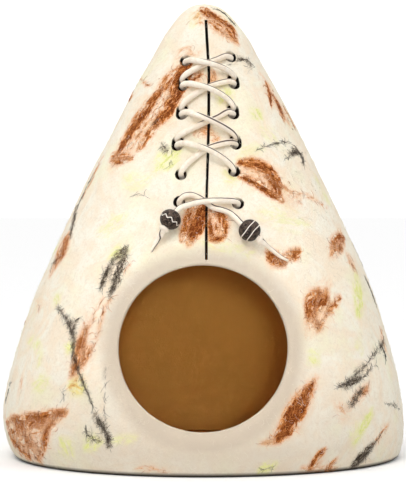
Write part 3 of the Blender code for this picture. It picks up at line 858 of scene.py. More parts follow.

# %% [markdown]
# ## Wool wisps: where they lie
# Before felting, the maker lays thin tufts of dyed wool over the white fleece, and the wet rubbing drags
# them into streaks. There are three colours: rust, brown-grey and lime. The front ones are placed on the
# photograph: a wisp is a short curve of places in the photograph's pixels (across and down), with a width
# in millimetres and a strength from 0 to 1. Each place is carried along the camera's line of sight on to
# the felt. The sides and back don't show in the photograph, so seeded random wisps of the same kinds go
# there.

# %% Wool wisps: the table
Wisp = namedtuple("Wisp", "wool width strength places")
FRONT_WISPS = [
    # the tip and the slit
    Wisp("rust", 20, 0.45, [(203, 11), (213, 20), (225, 30), (236, 42)]),
    Wisp("rust", 7, 0.9, [(205, 10), (214, 16), (225, 23), (233, 30), (235, 38)]),
    Wisp("rust", 9, 0.75, [(202, 8), (206, 12), (210, 17)]),
    Wisp("rust", 6, 0.6, [(209, 22), (217, 29), (228, 38)]),
    Wisp("rust", 14, 0.32, [(200, 8), (198, 16), (202, 24)]),
    Wisp("charcoal", 2, 0.6, [(212, 8), (224, 13), (232, 21), (237, 28)]),
    Wisp("lime", 9, 0.35, [(201, 9), (196, 18), (192, 27)]),
    Wisp("rust", 14, 0.3, [(178, 58), (186, 51), (198, 53)]),
    Wisp("rust", 12, 0.33, [(197, 68), (196, 76), (200, 88)]),
    Wisp("rust", 12, 0.3, [(212, 70), (213, 78), (211, 86)]),
    Wisp("rust", 4, 0.7, [(190, 82), (196, 78), (203, 72)]),
    Wisp("rust", 16, 0.38, [(196, 133), (203, 131), (212, 133)]),
    Wisp("rust", 10, 0.36, [(206, 131), (214, 137), (220, 143)]),
    Wisp("lime", 13, 0.5, [(220, 84), (224, 91), (222, 101)]),
    # the long streak down the left
    Wisp("rust", 46, 0.24, [(186, 62), (174, 84), (159, 106), (144, 126), (130, 144), (114, 164)]),
    Wisp("rust", 26, 0.34, [(184, 68), (174, 86), (160, 106), (145, 126), (131, 144), (118, 162)]),
    Wisp("rust", 15, 0.6, [(179, 70), (168, 82), (158, 94)]),
    Wisp("rust", 15, 0.82, [(160, 92), (147, 108), (137, 122), (127, 137), (117, 153)]),
    Wisp("rust", 14, 0.88, [(184, 84), (175, 98), (165, 113), (155, 126)]),
    Wisp("rust", 11, 0.62, [(156, 124), (146, 138), (138, 150)]),
    Wisp("rust", 20, 0.86, [(187, 64), (182, 77), (174, 94)]),
    Wisp("rust", 14, 0.55, [(112, 155), (121, 157), (131, 158)]),
    Wisp("rust", 8, 0.6, [(110, 160), (118, 161), (128, 160)]),
    Wisp("charcoal", 3, 0.5, [(157, 119), (154, 123), (150, 127)]),
    Wisp("rust", 3, 0.6, [(99, 162), (91, 181), (82, 198)]),
    Wisp("rust", 3, 0.45, [(140, 79), (146, 84), (153, 87)]),
    # the right shoulder
    Wisp("rust", 22, 0.2, [(262, 76), (276, 102), (296, 130)]),
    Wisp("rust", 5, 0.7, [(266, 83), (270, 95), (271, 106)]),
    Wisp("rust", 6, 0.85, [(274, 97), (280, 108), (284, 121)]),
    Wisp("rust", 5, 0.55, [(284, 108), (290, 118), (294, 128)]),
    Wisp("rust", 15, 0.33, [(268, 84), (277, 104), (289, 124)]),
    Wisp("rust", 36, 0.22, [(236, 170), (250, 171), (264, 178), (278, 190), (292, 203)]),
    Wisp("rust", 22, 0.30, [(237, 170), (250, 171), (264, 178), (276, 190), (284, 200)]),
    Wisp("rust", 12, 0.86, [(240, 163), (252, 163), (264, 168), (274, 177), (280, 188)]),
    Wisp("rust", 8, 0.88, [(240, 176), (252, 181), (265, 189), (276, 197), (283, 201)]),
    Wisp("rust", 11, 0.75, [(266, 176), (274, 184), (280, 196)]),
    Wisp("rust", 10, 0.4, [(280, 184), (292, 195), (301, 203)]),
    Wisp("rust", 5, 0.36, [(286, 188), (297, 194), (308, 196), (318, 202), (326, 207)]),
    # under the twist
    Wisp("rust", 27, 0.42, [(195, 206), (194, 222), (189, 240)]),
    Wisp("rust", 15, 0.98, [(203, 207), (198, 222), (192, 238)]),
    Wisp("rust", 9, 0.7, [(190, 208), (187, 224), (182, 240)]),
    Wisp("rust", 22, 0.4, [(211, 208), (217, 222), (217, 236)]),
    Wisp("rust", 9, 0.7, [(212, 208), (222, 218), (225, 233)]),
    Wisp("rust", 7, 0.8, [(208, 214), (209, 226), (213, 238)]),
    Wisp("rust", 7, 0.75, [(209, 239), (217, 239), (225, 236)]),
    # spots and blobs on the right
    Wisp("rust", 14, 0.7, [(268, 254), (275, 259), (283, 265)]),
    Wisp("rust", 6, 0.8, [(272, 254), (278, 260), (282, 264)]),
    Wisp("rust", 10, 0.72, [(284, 257), (293, 255), (300, 252)]),
    Wisp("rust", 5, 0.7, [(287, 255), (294, 254), (299, 252)]),
    Wisp("rust", 17, 0.5, [(342, 236), (337, 244), (331, 254)]),
    Wisp("rust", 6, 0.85, [(344, 237), (337, 238), (331, 246)]),
    Wisp("rust", 6, 0.75, [(343, 241), (340, 249), (336, 254)]),
    Wisp("rust", 11, 0.36, [(345, 252), (351, 261), (355, 272)]),
    Wisp("rust", 4, 0.7, [(350, 262), (353, 267), (354, 272)]),
    Wisp("rust", 38, 0.22, [(328, 286), (317, 306), (308, 330)]),
    Wisp("rust", 24, 0.36, [(325, 290), (317, 306), (309, 326)]),
    Wisp("rust", 13, 0.86, [(320, 291), (312, 303), (307, 316)]),
    Wisp("rust", 7, 0.6, [(312, 316), (318, 324), (320, 333)]),
    Wisp("rust", 7, 0.66, [(341, 297), (334, 305), (325, 316)]),
    Wisp("rust", 10, 0.7, [(328, 292), (323, 301), (315, 311)]),
    Wisp("rust", 5, 0.55, [(326, 318), (320, 325), (317, 331)]),
    Wisp("rust", 24, 0.22, [(317, 378), (308, 394), (299, 409), (288, 425), (272, 440)]),
    Wisp("rust", 13, 0.42, [(315, 380), (308, 394), (299, 409), (289, 425), (276, 440)]),
    Wisp("rust", 9, 1.0, [(312, 384), (306, 394), (300, 404), (294, 415)]),
    Wisp("rust", 15, 1.0, [(308, 389), (301, 402), (294, 414), (287, 427), (278, 439)]),
    Wisp("rust", 3, 0.5, [(286, 434), (273, 441), (258, 445)]),
    Wisp("rust", 7, 0.75, [(325, 448), (318, 458), (309, 470)]),
    Wisp("rust", 4, 0.65, [(335, 459), (331, 465), (328, 471)]),
    Wisp("rust", 17, 0.3, [(302, 470), (317, 472), (334, 470)]),
    Wisp("rust", 9, 0.45, [(381, 328), (382, 338), (385, 350)]),
    Wisp("rust", 11, 0.4, [(369, 386), (360, 394), (350, 404)]),
    Wisp("rust", 5, 0.65, [(370, 387), (364, 391), (360, 394)]),
    Wisp("rust", 5, 0.45, [(388, 424), (381, 434), (374, 446)]),
    Wisp("rust", 14, 0.26, [(336, 402), (341, 410), (350, 414)]),
    # the left side
    Wisp("rust", 26, 0.62, [(68, 236), (62, 249), (56, 264)]),
    Wisp("rust", 14, 0.7, [(68, 238), (64, 248), (62, 258)]),
    Wisp("rust", 10, 0.4, [(56, 262), (52, 270), (50, 278)]),
    Wisp("rust", 30, 0.22, [(88, 320), (84, 340), (80, 358), (76, 388)]),
    Wisp("rust", 18, 0.36, [(86, 325), (83, 340), (79, 358), (75, 382)]),
    Wisp("rust", 13, 0.26, [(70, 386), (76, 387), (82, 391)]),
    Wisp("rust", 8, 0.85, [(80, 338), (78, 350), (76, 362), (73, 376)]),
    Wisp("rust", 7, 0.75, [(85, 326), (84, 338), (83, 350)]),
    Wisp("rust", 7, 0.72, [(90, 344), (87, 354), (83, 364)]),
    Wisp("rust", 8, 0.3, [(22, 378), (21, 388), (19, 397)]),
    Wisp("rust", 24, 0.45, [(6, 428), (24, 430), (46, 424), (62, 414)]),
    Wisp("rust", 30, 0.45, [(14, 438), (28, 446), (36, 462)]),
    Wisp("rust", 6, 0.9, [(5, 421), (18, 419), (34, 417), (52, 414), (69, 411)]),
    Wisp("rust", 12, 0.75, [(6, 430), (10, 442), (18, 452), (30, 462)]),
    Wisp("rust", 8, 0.8, [(52, 420), (46, 432), (42, 446), (37, 460)]),
    Wisp("rust", 8, 0.75, [(14, 428), (28, 424), (42, 424)]),
    Wisp("rust", 8, 0.8, [(24, 436), (30, 446), (38, 448)]),
    Wisp("rust", 7, 0.28, [(135, 470), (152, 469), (168, 472)]),
    Wisp("rust", 2, 0.6, [(112, 297), (105, 309), (100, 322), (96, 338), (93, 350)]),
    Wisp("rust", 2, 0.45, [(104, 296), (96, 312), (91, 328)]),
    Wisp("rust", 2, 0.5, [(125, 271), (133, 260)]),
    Wisp("rust", 9, 0.24, [(36, 300), (40, 308), (36, 316)]),
    # brown-grey hairs, arcs and twigs
    Wisp("charcoal", 7, 0.4, [(230, 64), (238, 60), (247, 62), (251, 68)]),
    Wisp("charcoal", 2, 0.55, [(238, 60), (246, 60), (251, 65), (249, 71)]),
    Wisp("charcoal", 8, 0.5, [(161, 144), (164, 148), (169, 152)]),
    Wisp("charcoal", 1.5, 0.6, [(255, 151), (263, 147), (273, 144), (285, 142), (294, 146)]),
    Wisp("charcoal", 5, 0.85, [(291, 154), (297, 151), (302, 157), (303, 164)]),
    Wisp("charcoal", 2, 0.6, [(284, 159), (291, 155), (297, 153)]),
    Wisp("charcoal", 8, 0.5, [(123, 250), (114, 260), (107, 273), (101, 290)]),
    Wisp("charcoal", 4, 0.7, [(111, 264), (105, 276), (101, 288)]),
    Wisp("charcoal", 11, 0.62, [(126, 250), (122, 262), (117, 277), (113, 291)]),
    Wisp("charcoal", 6, 0.85, [(122, 262), (118, 274), (114, 286), (110, 297)]),
    Wisp("charcoal", 4, 0.7, [(119, 252), (124, 250), (127, 256)]),
    Wisp("lime", 11, 0.6, [(112, 258), (118, 254), (126, 252)]),
    Wisp("charcoal", 1.5, 0.6, [(108, 306), (109, 322), (108, 336), (107, 348)]),
    Wisp("charcoal", 5, 0.8, [(107, 348), (106, 362), (105, 376)]),
    Wisp("charcoal", 1.5, 0.45, [(105, 378), (105, 392), (104, 406), (107, 424)]),
    Wisp("charcoal", 3, 0.75, [(57, 306), (63, 314), (68, 322), (72, 332)]),
    Wisp("charcoal", 7, 0.6, [(68, 318), (73, 326), (74, 338)]),
    Wisp("charcoal", 4, 0.8, [(71, 326), (73, 338), (73, 350), (75, 362), (79, 374)]),
    Wisp("charcoal", 1.5, 0.95, [(79, 372), (84, 385), (89, 396), (94, 408)]),
    Wisp("charcoal", 4.5, 0.95, [(95, 413), (99, 421), (105, 431), (108, 439), (109, 447)]),
    Wisp("charcoal", 6, 0.3, [(104, 418), (107, 430), (108, 440)]),
    Wisp("charcoal", 2, 0.6, [(81, 317), (76, 322), (74, 330)]),
    Wisp("charcoal", 3, 0.8, [(86, 429), (88, 434), (92, 438), (99, 441)]),
    Wisp("charcoal", 7, 0.2, [(90, 422), (92, 430), (98, 436)]),
    Wisp("charcoal", 3, 0.5, [(60, 391), (64, 393), (64, 398)]),
    Wisp("charcoal", 4, 0.45, [(11, 382), (8, 391), (5, 402)]),
    Wisp("charcoal", 6, 0.7, [(75, 208), (73, 222), (70, 238)]),
    Wisp("charcoal", 2, 0.6, [(92, 176), (84, 192), (77, 208)]),
    Wisp("charcoal", 6, 0.45, [(56, 260), (52, 265), (50, 270)]),
    Wisp("charcoal", 2, 0.35, [(132, 196), (140, 194), (146, 197)]),
    Wisp("charcoal", 3, 0.65, [(384, 340), (379, 348), (371, 357)]),
    Wisp("charcoal", 3, 0.7, [(380, 345), (384, 352), (385, 360)]),
    Wisp("charcoal", 2, 0.6, [(371, 358), (362, 368), (354, 376)]),
    Wisp("charcoal", 2, 0.55, [(376, 364), (366, 374), (358, 382)]),
    Wisp("charcoal", 7, 0.75, [(360, 376), (352, 382), (344, 386)]),
    Wisp("charcoal", 3, 0.8, [(352, 380), (345, 385), (338, 387)]),
    Wisp("charcoal", 10, 0.3, [(366, 366), (356, 374), (348, 384)]),
    Wisp("charcoal", 5, 0.82, [(363, 388), (357, 396), (350, 406)]),
    Wisp("charcoal", 9, 0.72, [(373, 444), (365, 453), (356, 462), (349, 470)]),
    Wisp("charcoal", 5, 0.85, [(372, 446), (365, 456), (354, 466)]),
    Wisp("charcoal", 1.5, 0.6, [(382, 432), (377, 440), (372, 447)]),
    Wisp("charcoal", 1.5, 0.5, [(384, 404), (392, 405), (399, 408)]),
    Wisp("charcoal", 3, 0.7, [(366, 280), (371, 291), (376, 304)]),
    Wisp("charcoal", 1.5, 0.4, [(172, 149), (171, 158), (169, 167)]),
    Wisp("charcoal", 2, 0.4, [(262, 470), (269, 468), (276, 465)]),
    # lime
    Wisp("lime", 14, 0.7, [(176, 150), (168, 158), (158, 168)]),
    Wisp("lime", 9, 0.6, [(252, 110), (256, 114), (260, 119)]),
    Wisp("lime", 10, 0.75, [(356, 274), (358, 288), (359, 302), (358, 316)]),
    Wisp("lime", 9, 0.4, [(357, 341), (359, 347), (361, 353)]),
    Wisp("lime", 12, 0.45, [(311, 353), (314, 358), (318, 363)]),
    Wisp("lime", 6, 0.75, [(373, 410), (368, 419), (361, 430), (356, 442)]),
    Wisp("lime", 14, 0.35, [(356, 424), (356, 434), (354, 444)]),
    Wisp("lime", 7, 0.45, [(28, 340), (36, 343), (40, 354), (39, 366)]),
    Wisp("lime", 11, 0.45, [(33, 386), (41, 384), (49, 382)]),
    Wisp("lime", 8, 0.75, [(67, 346), (71, 348), (74, 352)]),
    Wisp("lime", 11, 0.75, [(70, 384), (77, 386), (82, 390)]),
    Wisp("lime", 13, 0.5, [(60, 440), (65, 448), (70, 456)]),
    Wisp("lime", 10, 0.6, [(86, 448), (92, 443), (100, 440)]),
    Wisp("lime", 5, 0.5, [(110, 441), (124, 439), (138, 439)]),
    Wisp("lime", 7, 0.6, [(259, 472), (267, 468), (276, 463)]),
    Wisp("lime", 16, 0.34, [(100, 232), (112, 226), (124, 218)]),
    Wisp("lime", 7, 0.45, [(55, 294), (57, 300), (58, 308)]),
    Wisp("lime", 13, 0.4, [(226, 172), (232, 176), (240, 178)]),
    Wisp("lime", 20, 0.3, [(262, 214), (285, 218), (306, 223)]),
    Wisp("lime", 16, 0.35, [(206, 243), (216, 247), (228, 246)]),
    Wisp("lime", 12, 0.34, [(240, 160), (250, 152), (262, 148)]),
    Wisp("lime", 14, 0.35, [(316, 178), (322, 190), (330, 204)]),
    Wisp("lime", 16, 0.3, [(126, 178), (138, 182), (150, 178)]),
    Wisp("lime", 14, 0.3, [(262, 130), (270, 136), (276, 144)]),
    Wisp("lime", 12, 0.35, [(228, 248), (240, 252), (252, 252)]),
]
print("front wisps:", len(FRONT_WISPS))


# %% Wool wisps: on to the felt
def felt_seen_at(across, down):
    """The place on the outer felt that the camera sees at a pixel of the photograph."""
    look = (CAMERA_TARGET - CAMERA_PLACE).normalized()
    right = look.cross(Vector((0, 0, 1))).normalized()
    aside, above = across - PHOTO_WIDTH / 2, PHOTO_HEIGHT / 2 - down
    ray = look * FOCAL_PIXELS + right * aside + right.cross(look) * above
    place = CAMERA_PLACE + ray * ((-0.15 - CAMERA_PLACE.y) / ray.y)
    for _ in range(12):
        z = min(max(place.z, 2.0 * MM), 472.0 * MM)
        reach = 0.985 * half_width_at(z)
        x = min(max(place.x, lean_at(z) - reach), lean_at(z) + reach)
        felt = front_point(x, z)
        place = CAMERA_PLACE + ray * ((felt.y - CAMERA_PLACE.y) / ray.y)
    return felt


def turned_felt(turn, z):
    """The place on the felt at an angle round from the front, in degrees."""
    return form_point(half_width_at(z), z, math.radians(turn))


# %% Wool wisps: on the sides and the back
Kind = namedtuple("Kind", "wool share length width")
KINDS = [       # lengths in metres and widths in millimetres, from and to
    Kind("rust", 0.40, (0.03, 0.10), (5, 14)),
    Kind("charcoal", 0.33, (0.02, 0.07), (3, 8)),
    Kind("lime", 0.27, (0.02, 0.07), (6, 14)),
]
HIDDEN_WISPS, HIDDEN_SEED = 80, 12
HIDDEN_TURNS = (98.0, 262.0)            # degrees round from the front
HIGHEST, LOWEST = 0.468, 0.006
BESIDE, BESIDE_CHANCE = 9.0 * MM, 0.55  # some rust wisps have a wider pale one below them
PATH_STEP = 2.0 * MM


def hidden_wisps():
    """Wisps of the same kinds for the sides and the back: (wool, width, strength, places on the felt)."""
    dice = random.Random(HIDDEN_SEED)
    found = []
    for _ in range(HIDDEN_WISPS):
        kind = dice.choices(KINDS, [row.share for row in KINDS])[0]
        z = 0.455 * (1.0 - (1.0 - 0.99 * dice.random()) ** 0.62) + 0.01
        turn, length = dice.uniform(*HIDDEN_TURNS), dice.uniform(*kind.length)
        slant = math.radians(dice.gauss(52.0, 26.0)) * dice.choice([-1, 1])
        bend = dice.gauss(0.0, 0.5)
        places, beside = [], []
        for share in (0.0, 0.35, 0.7, 1.0):
            heading = slant + bend * (share - 0.5)
            z_here = min(max(z - length * share * abs(math.sin(heading)), LOWEST), HIGHEST)
            sideways = length * share * math.cos(heading) * math.copysign(1.0, slant)
            turn_here = turn + math.degrees(sideways / max(half_width_at(z_here), 0.03))
            places.append(turned_felt(turn_here, z_here))
            beside.append(turned_felt(turn_here, max(z_here - BESIDE, 4.0 * MM)))
        width = {row.wool: dice.uniform(*row.width) for row in KINDS}[kind.wool]
        found.append((kind.wool, width * MM, dice.uniform(0.45, 0.95), places))
        if kind.wool == "rust" and dice.random() < BESIDE_CHANCE:
            found.append((kind.wool, width * 1.6 * MM, 0.42, beside))
    return found


def wisp_paths():
    """Every wisp as (wool, width, strength, close points along it), the front ones first."""
    rows = []
    for wool, width, strength, places in FRONT_WISPS:
        rows.append((wool, width * MM, strength, [felt_seen_at(*place) for place in places]))
    return [(*row, spaced(smooth_curve(places), PATH_STEP)) for *row, places in rows + hidden_wisps()]


WISPS = wisp_paths()
print("all wisps:", len(WISPS))

# %% Wool wisps: how much wool lies at each point
WISP_SOFT, WISP_CORE = 2.15, 0.1    # a wisp's soft edge and its full strength reach this many half widths
CLOUDINESS = 1.5                    # lime wool spreads wider than the other two
THINNEST = 1.6 * MM                 # half width of the thinnest soft patch; finer hairs are drawn with fibres
SPREAD, SPARE = 0.5 * MM, 1.5 * MM  # a patch is wider by the first, and looked for further out by the second
ALONG_SHIFT, ACROSS_SHIFT = 0.37, 0.11      # each wisp reads its own part of the drawn noise


def tapered(count):
    """Relative width along a wisp: full in the middle, thin at both ends."""
    return 0.22 + 0.78 * np.sin(np.pi * np.linspace(0.05, 0.95, count)) ** 0.75


def thin_strength(wool, width):
    """A thin wisp hardly tints the felt, because its colour is in its loose fibres."""
    if wool == "charcoal":
        return min(1.0, 0.15 + 0.85 * width / (8.0 * MM))
    return min(1.0, 0.35 + 0.65 * width / 2 / THINNEST)


def unit_rows(rows):
    return rows / (np.linalg.norm(rows, axis=1)[:, None] + 1e-9)


def wool_fields(points):
    """For each point: how much of each wool lies there, and its place along and across the strongest wisp."""
    amounts = {kind.wool: np.zeros(len(points)) for kind in KINDS}
    strongest = np.zeros(len(points))
    along, across = points[:, 2].copy(), points[:, 0].copy()
    for number, (wool, width, strength, path) in enumerate(WISPS):
        width *= CLOUDINESS if wool == "lime" else 1.0
        reach = max(width / 2, THINNEST) * WISP_SOFT + SPARE
        near = np.where(((points > path.min(0) - reach) & (points < path.max(0) + reach)).all(axis=1))[0]
        if not len(near):
            continue
        gaps = points[near][:, None, :] - path[None, :, :]
        away = np.linalg.norm(gaps, axis=2)
        nearest = away.argmin(axis=1)
        away = away[np.arange(len(near)), nearest]
        half = np.maximum(width / 2, THINNEST) * tapered(len(path))[nearest] + SPREAD
        share = np.clip((WISP_SOFT - away / half) / (WISP_SOFT - WISP_CORE), 0.0, 1.0)
        amount = strength * thin_strength(wool, width) * share * share * (3.0 - 2.0 * share)
        amounts[wool][near] = np.maximum(amounts[wool][near], amount)
        stronger = amount > strongest[near]
        chosen = near[stronger]
        way = unit_rows(np.gradient(path, axis=0))[nearest[stronger]]
        side = np.cross(way, unit_rows(points[chosen] * np.array([1.0, 1.0, 0.0])))
        gap = gaps[np.arange(len(near)), nearest][stronger]
        along[chosen] = nearest[stronger] * PATH_STEP + (gap * way).sum(1) + ALONG_SHIFT * number
        across[chosen] = (gap * side).sum(1) + ACROSS_SHIFT * number
        strongest[chosen] = amount[stronger]
    return amounts, along, across


# %% Shell attributes: shaded places
# painted shade: the walls of the slit and the lace holes, and the inside round them, are darkened
DARK_FROM, DARK_RISE = 0.01, 0.12           # how deep in the wall the slit and the lace holes get dark
CUT_NEAR, CUT_BEHIND = 1.5 * MM, 6.0 * MM   # and how far round them, in the wall and on the inside
# painted contact shade: the foot's turned-under edge is darkened where it meets the floor
UNDER_FROM, UNDER_TO = 1.6 * MM, 5.0 * MM   # the turned-under edge of the foot is dark between these heights
SHADED_REACH, SHADED_SOFT = 14.0 * MM, 3.0 * MM
ENTRANCE_TOP, LACING_FOOT = 0.25, 0.2
CLEAN_FROM, CLEAN_OVER = 6.0 * MM, 7.0 * MM     # the entrance's lip has no wisps
RIM_REACH = 15.0 * MM                           # and is painted darker and warmer out to this far, as shade


def edge_distances(points, near, edges):
    """Each point's distance to the nearest of some cut edges, or 1 m where it isn't near them."""
    return np.array([min(edge(Vector(p)) for edge in edges) if ok else 1.0 for p, ok in zip(points, near)])


def shaded_side(point):
    """The felt over each strand hides the top of its hole, so painted shade shows at its foot and outer side.
    """
    x, _, z = point
    name, (hole_x, hole_z, _) = min(HOLES.items(), key=lambda row: math.hypot(row[1][0] - x, row[1][1] - z))
    side, rise = x - hole_x, z - hole_z
    if math.hypot(side, rise) > SHADED_REACH:
        return 1.0
    outer = side if name.startswith("R") else -side
    facing = outer + rise if name == "L6" else 0.75 * outer - rise
    return clamped(facing / SHADED_SOFT + 0.9)


def painted_shade_places(points, skin, front):
    """Painted shade at each point: in the wall and behind at the slit and the holes, and under the foot."""
    edges = [slit_distance, *map(hole_distance, HOLES)]
    cut = edge_distances(points, front & (points[:, 2] > LACING_FOOT), edges)
    in_wall = np.clip((skin - DARK_FROM) / DARK_RISE, 0.0, 1.0) * np.clip((1.05 - skin) / 0.05, 0.0, 1.0)
    dark = in_wall * (cut < CUT_NEAR)
    dark *= np.array([shaded_side(p) if p[1] < 0.0 and p[2] > ENTRANCE_TOP else 1.0 for p in points])
    behind = 0.8 * (skin > 0.99) * (cut < CUT_BEHIND)
    # painted contact shade on the turned-under edge of the foot
    under = np.clip((UNDER_TO - points[:, 2]) / (UNDER_TO - UNDER_FROM), 0.0, 1.0) * (skin < 0.5)
    return np.maximum(np.maximum(dark, behind), 0.95 * under)


def warm_shade_places(points, rim):
    """Painted warm shade on the cream: low down in the middle, and round the entrance."""
    low = np.clip((0.22 - points[:, 2]) / 0.20, 0.0, 1.0)
    middle = np.clip(1.0 - (points[:, 0] / 0.19) ** 2, 0.0, 1.0)
    middle *= np.clip(0.5 + points[:, 2] / 0.05, 0.0, 1.0)
    rim_band = np.clip(1.3 - rim / RIM_REACH, 0.0, 1.0)
    return np.clip(0.8 * low * low * middle + 0.85 * rim_band, 0.0, 1.0)


# %% Shell attributes: all of them
def write_attribute(mesh, name, values):
    attribute = mesh.attributes.new(name, "FLOAT", "POINT")
    attribute.data.foreach_set("value", np.ascontiguousarray(values, dtype=np.float32))


def colour_shell(mesh):
    points, skin = np.zeros(len(mesh.vertices) * 3), np.zeros(len(mesh.vertices))
    mesh.vertices.foreach_get("co", points)
    mesh.attributes["skin"].data.foreach_get("value", skin)
    points = points.reshape(-1, 3)
    front = points[:, 1] < 0.0
    rim = edge_distances(points, front & (points[:, 2] < ENTRANCE_TOP), [entrance_distance])
    amounts, along, across = wool_fields(points)
    clean = np.clip((rim - CLEAN_FROM) / CLEAN_OVER, 0.0, 1.0) * (skin < 0.5)
    # the first field is painted shade at the slit, the holes and the foot; the second is painted warm shade
    fields = {"cut": painted_shade_places(points, skin, front), "warmth": warm_shade_places(points, rim)}
    fields.update({wool: amount * clean for wool, amount in amounts.items()}, along=along, across=across)
    for name, values in fields.items():
        write_attribute(mesh, name, values)


colour_shell(shell.data)
print("shell attributes:", [a.name for a in shell.data.attributes if not a.is_internal])

# %% [markdown]
# ## Felt material
# Felt is white fleece with streaks in it. The shell knows how much of each dyed wool lies at every point,
# and how far along and across its wisp that point is. The shader draws out a noise along the wisp, so that
# a smooth soft patch breaks up into drawn fibres. The matted surface itself comes from two finer noises in
# Object coordinates, which also give the height for a bump. Sheen gives the pale fuzz at the edges.

# %% Node helpers
def add_node(tree, kind, inputs=None, **settings):
    """A node with its settings and inputs. A socket among its inputs is linked, and any other is a value."""
    node = tree.nodes.new(kind)
    for name, value in settings.items():
        setattr(node, name, value)
    for key, value in (inputs or {}).items():
        if isinstance(value, bpy.types.NodeSocket):
            tree.links.new(value, node.inputs[key])
        else:
            node.inputs[key].default_value = value
    return node


def calculate(tree, operation, *values):
    return add_node(tree, "ShaderNodeMath", dict(enumerate(values)), operation=operation).outputs[0]


def times(tree, first, second):
    return calculate(tree, "MULTIPLY", first, second)


def smooth_step(tree, value, low, high):
    limits = {"Value": value, "From Min": low, "From Max": high}
    return add_node(tree, "ShaderNodeMapRange", limits, interpolation_type="SMOOTHSTEP").outputs["Result"]


def mixed(tree, share, first, second):
    """A mix of two colours. Many sockets of this node share a name, so they are chosen by their number."""
    return add_node(tree, "ShaderNodeMix", {0: share, 6: first, 7: second}, data_type="RGBA").outputs[2]


def noise_at(tree, where, scale, detail, roughness=0.5, distortion=0.0):
    inputs = dict(Vector=where, Scale=scale, Detail=detail, Roughness=roughness, Distortion=distortion)
    return add_node(tree, "ShaderNodeTexNoise", inputs).outputs[0]


def object_place(tree):
    return add_node(tree, "ShaderNodeTexCoord").outputs["Object"]


def attribute(tree, name):
    return add_node(tree, "ShaderNodeAttribute", attribute_name=name).outputs["Fac"]


def painted(red, green, blue):
    """A colour as it reads in the photograph (0 to 255), made linear for the shader."""
    shares = [channel / 255 for channel in (red, green, blue)]
    return (*[s / 12.92 if s <= 0.0404 else ((s + 0.055) / 1.055) ** 2.4 for s in shares], 1.0)


# %% Material helpers
def new_surface(name, **values):
    """A material with its tree and shader. Values that are the same all over sit on the shader itself."""
    material = bpy.data.materials.new(name)
    material.use_nodes = True
    shader = material.node_tree.nodes["Principled BSDF"]
    for socket, value in values.items():
        shader.inputs[socket.replace("_", " ")].default_value = value
    return material, material.node_tree, shader


def finish_surface(tree, shader, colour, roughness, bump=None):
    """Links what varies over a surface. A bump is a height, its strength and its distance in metres."""
    tree.links.new(colour, shader.inputs["Base Color"])
    tree.links.new(roughness, shader.inputs["Roughness"])
    if bump:
        node = add_node(tree, "ShaderNodeBump", dict(zip(("Height", "Strength", "Distance"), bump)))
        tree.links.new(node.outputs[0], shader.inputs["Normal"])


def new_group(name, inputs, outputs):
    """A shader node group, the sockets that it is given and the sockets that it puts out."""
    group = bpy.data.node_groups.new(name, "ShaderNodeTree")
    for direction, sockets in (("INPUT", inputs), ("OUTPUT", outputs)):
        for socket, kind in sockets.items():
            group.interface.new_socket(socket, in_out=direction, socket_type=kind)
    return group, group.nodes.new("NodeGroupInput").outputs, group.nodes.new("NodeGroupOutput").inputs


def place_group(tree, group, inputs):
    return add_node(tree, "ShaderNodeGroup", inputs, node_tree=group).outputs


# %% Shared groups
FLOAT, VECTOR = "NodeSocketFloat", "NodeSocketVector"
Drawn = namedtuple("Drawn", "socket along across detail roughness distortion")
DRAWN_NOISES = [Drawn("Strands", 95.0, 430.0, 4.0, 0.62, 1.8), Drawn("Patches", 75.0, 170.0, 3.0, 0.6, 0.8)]


def matted_group():
    """Uneven fleece: a value about 0 to 1 for colour, and a height for the bump."""
    sockets = {"Vector": VECTOR, "Size": FLOAT}, {"Cloud": FLOAT, "Height": FLOAT}
    group, given, out = new_group("matted wool", *sockets)
    scaled = add_node(group, "ShaderNodeVectorMath", {0: given["Vector"]}, operation="SCALE")
    group.links.new(calculate(group, "DIVIDE", 1.0, given["Size"]), scaled.inputs["Scale"])
    where = scaled.outputs[0]
    group.links.new(noise_at(group, where, 0.9, 4.0, 0.6, 1.6), out["Cloud"])
    curls = times(group, noise_at(group, where, 6.0, 4.0, 0.65, 2.2), 0.7)
    fuzz = times(group, noise_at(group, where, 38.0, 3.0, 0.7, 0.6), 0.42)
    group.links.new(calculate(group, "ADD", curls, fuzz), out["Height"])
    return group


def drawn_group():
    """Fibres drawn out along a direction: noises that are long along it and fine across it."""
    sockets = {"Along": FLOAT, "Across": FLOAT}, {row.socket: FLOAT for row in DRAWN_NOISES}
    group, given, out = new_group("drawn fibres", *sockets)
    for row in DRAWN_NOISES:
        stretched = {0: times(group, given["Along"], row.along), 1: times(group, given["Across"], row.across)}
        where = add_node(group, "ShaderNodeCombineXYZ", stretched).outputs[0]
        drawn = noise_at(group, where, 1.0, row.detail, row.roughness, row.distortion)
        group.links.new(drawn, out[row.socket])
    return group


MATTED, DRAWN = matted_group(), drawn_group()
print("groups:", MATTED.name, "and", DRAWN.name)

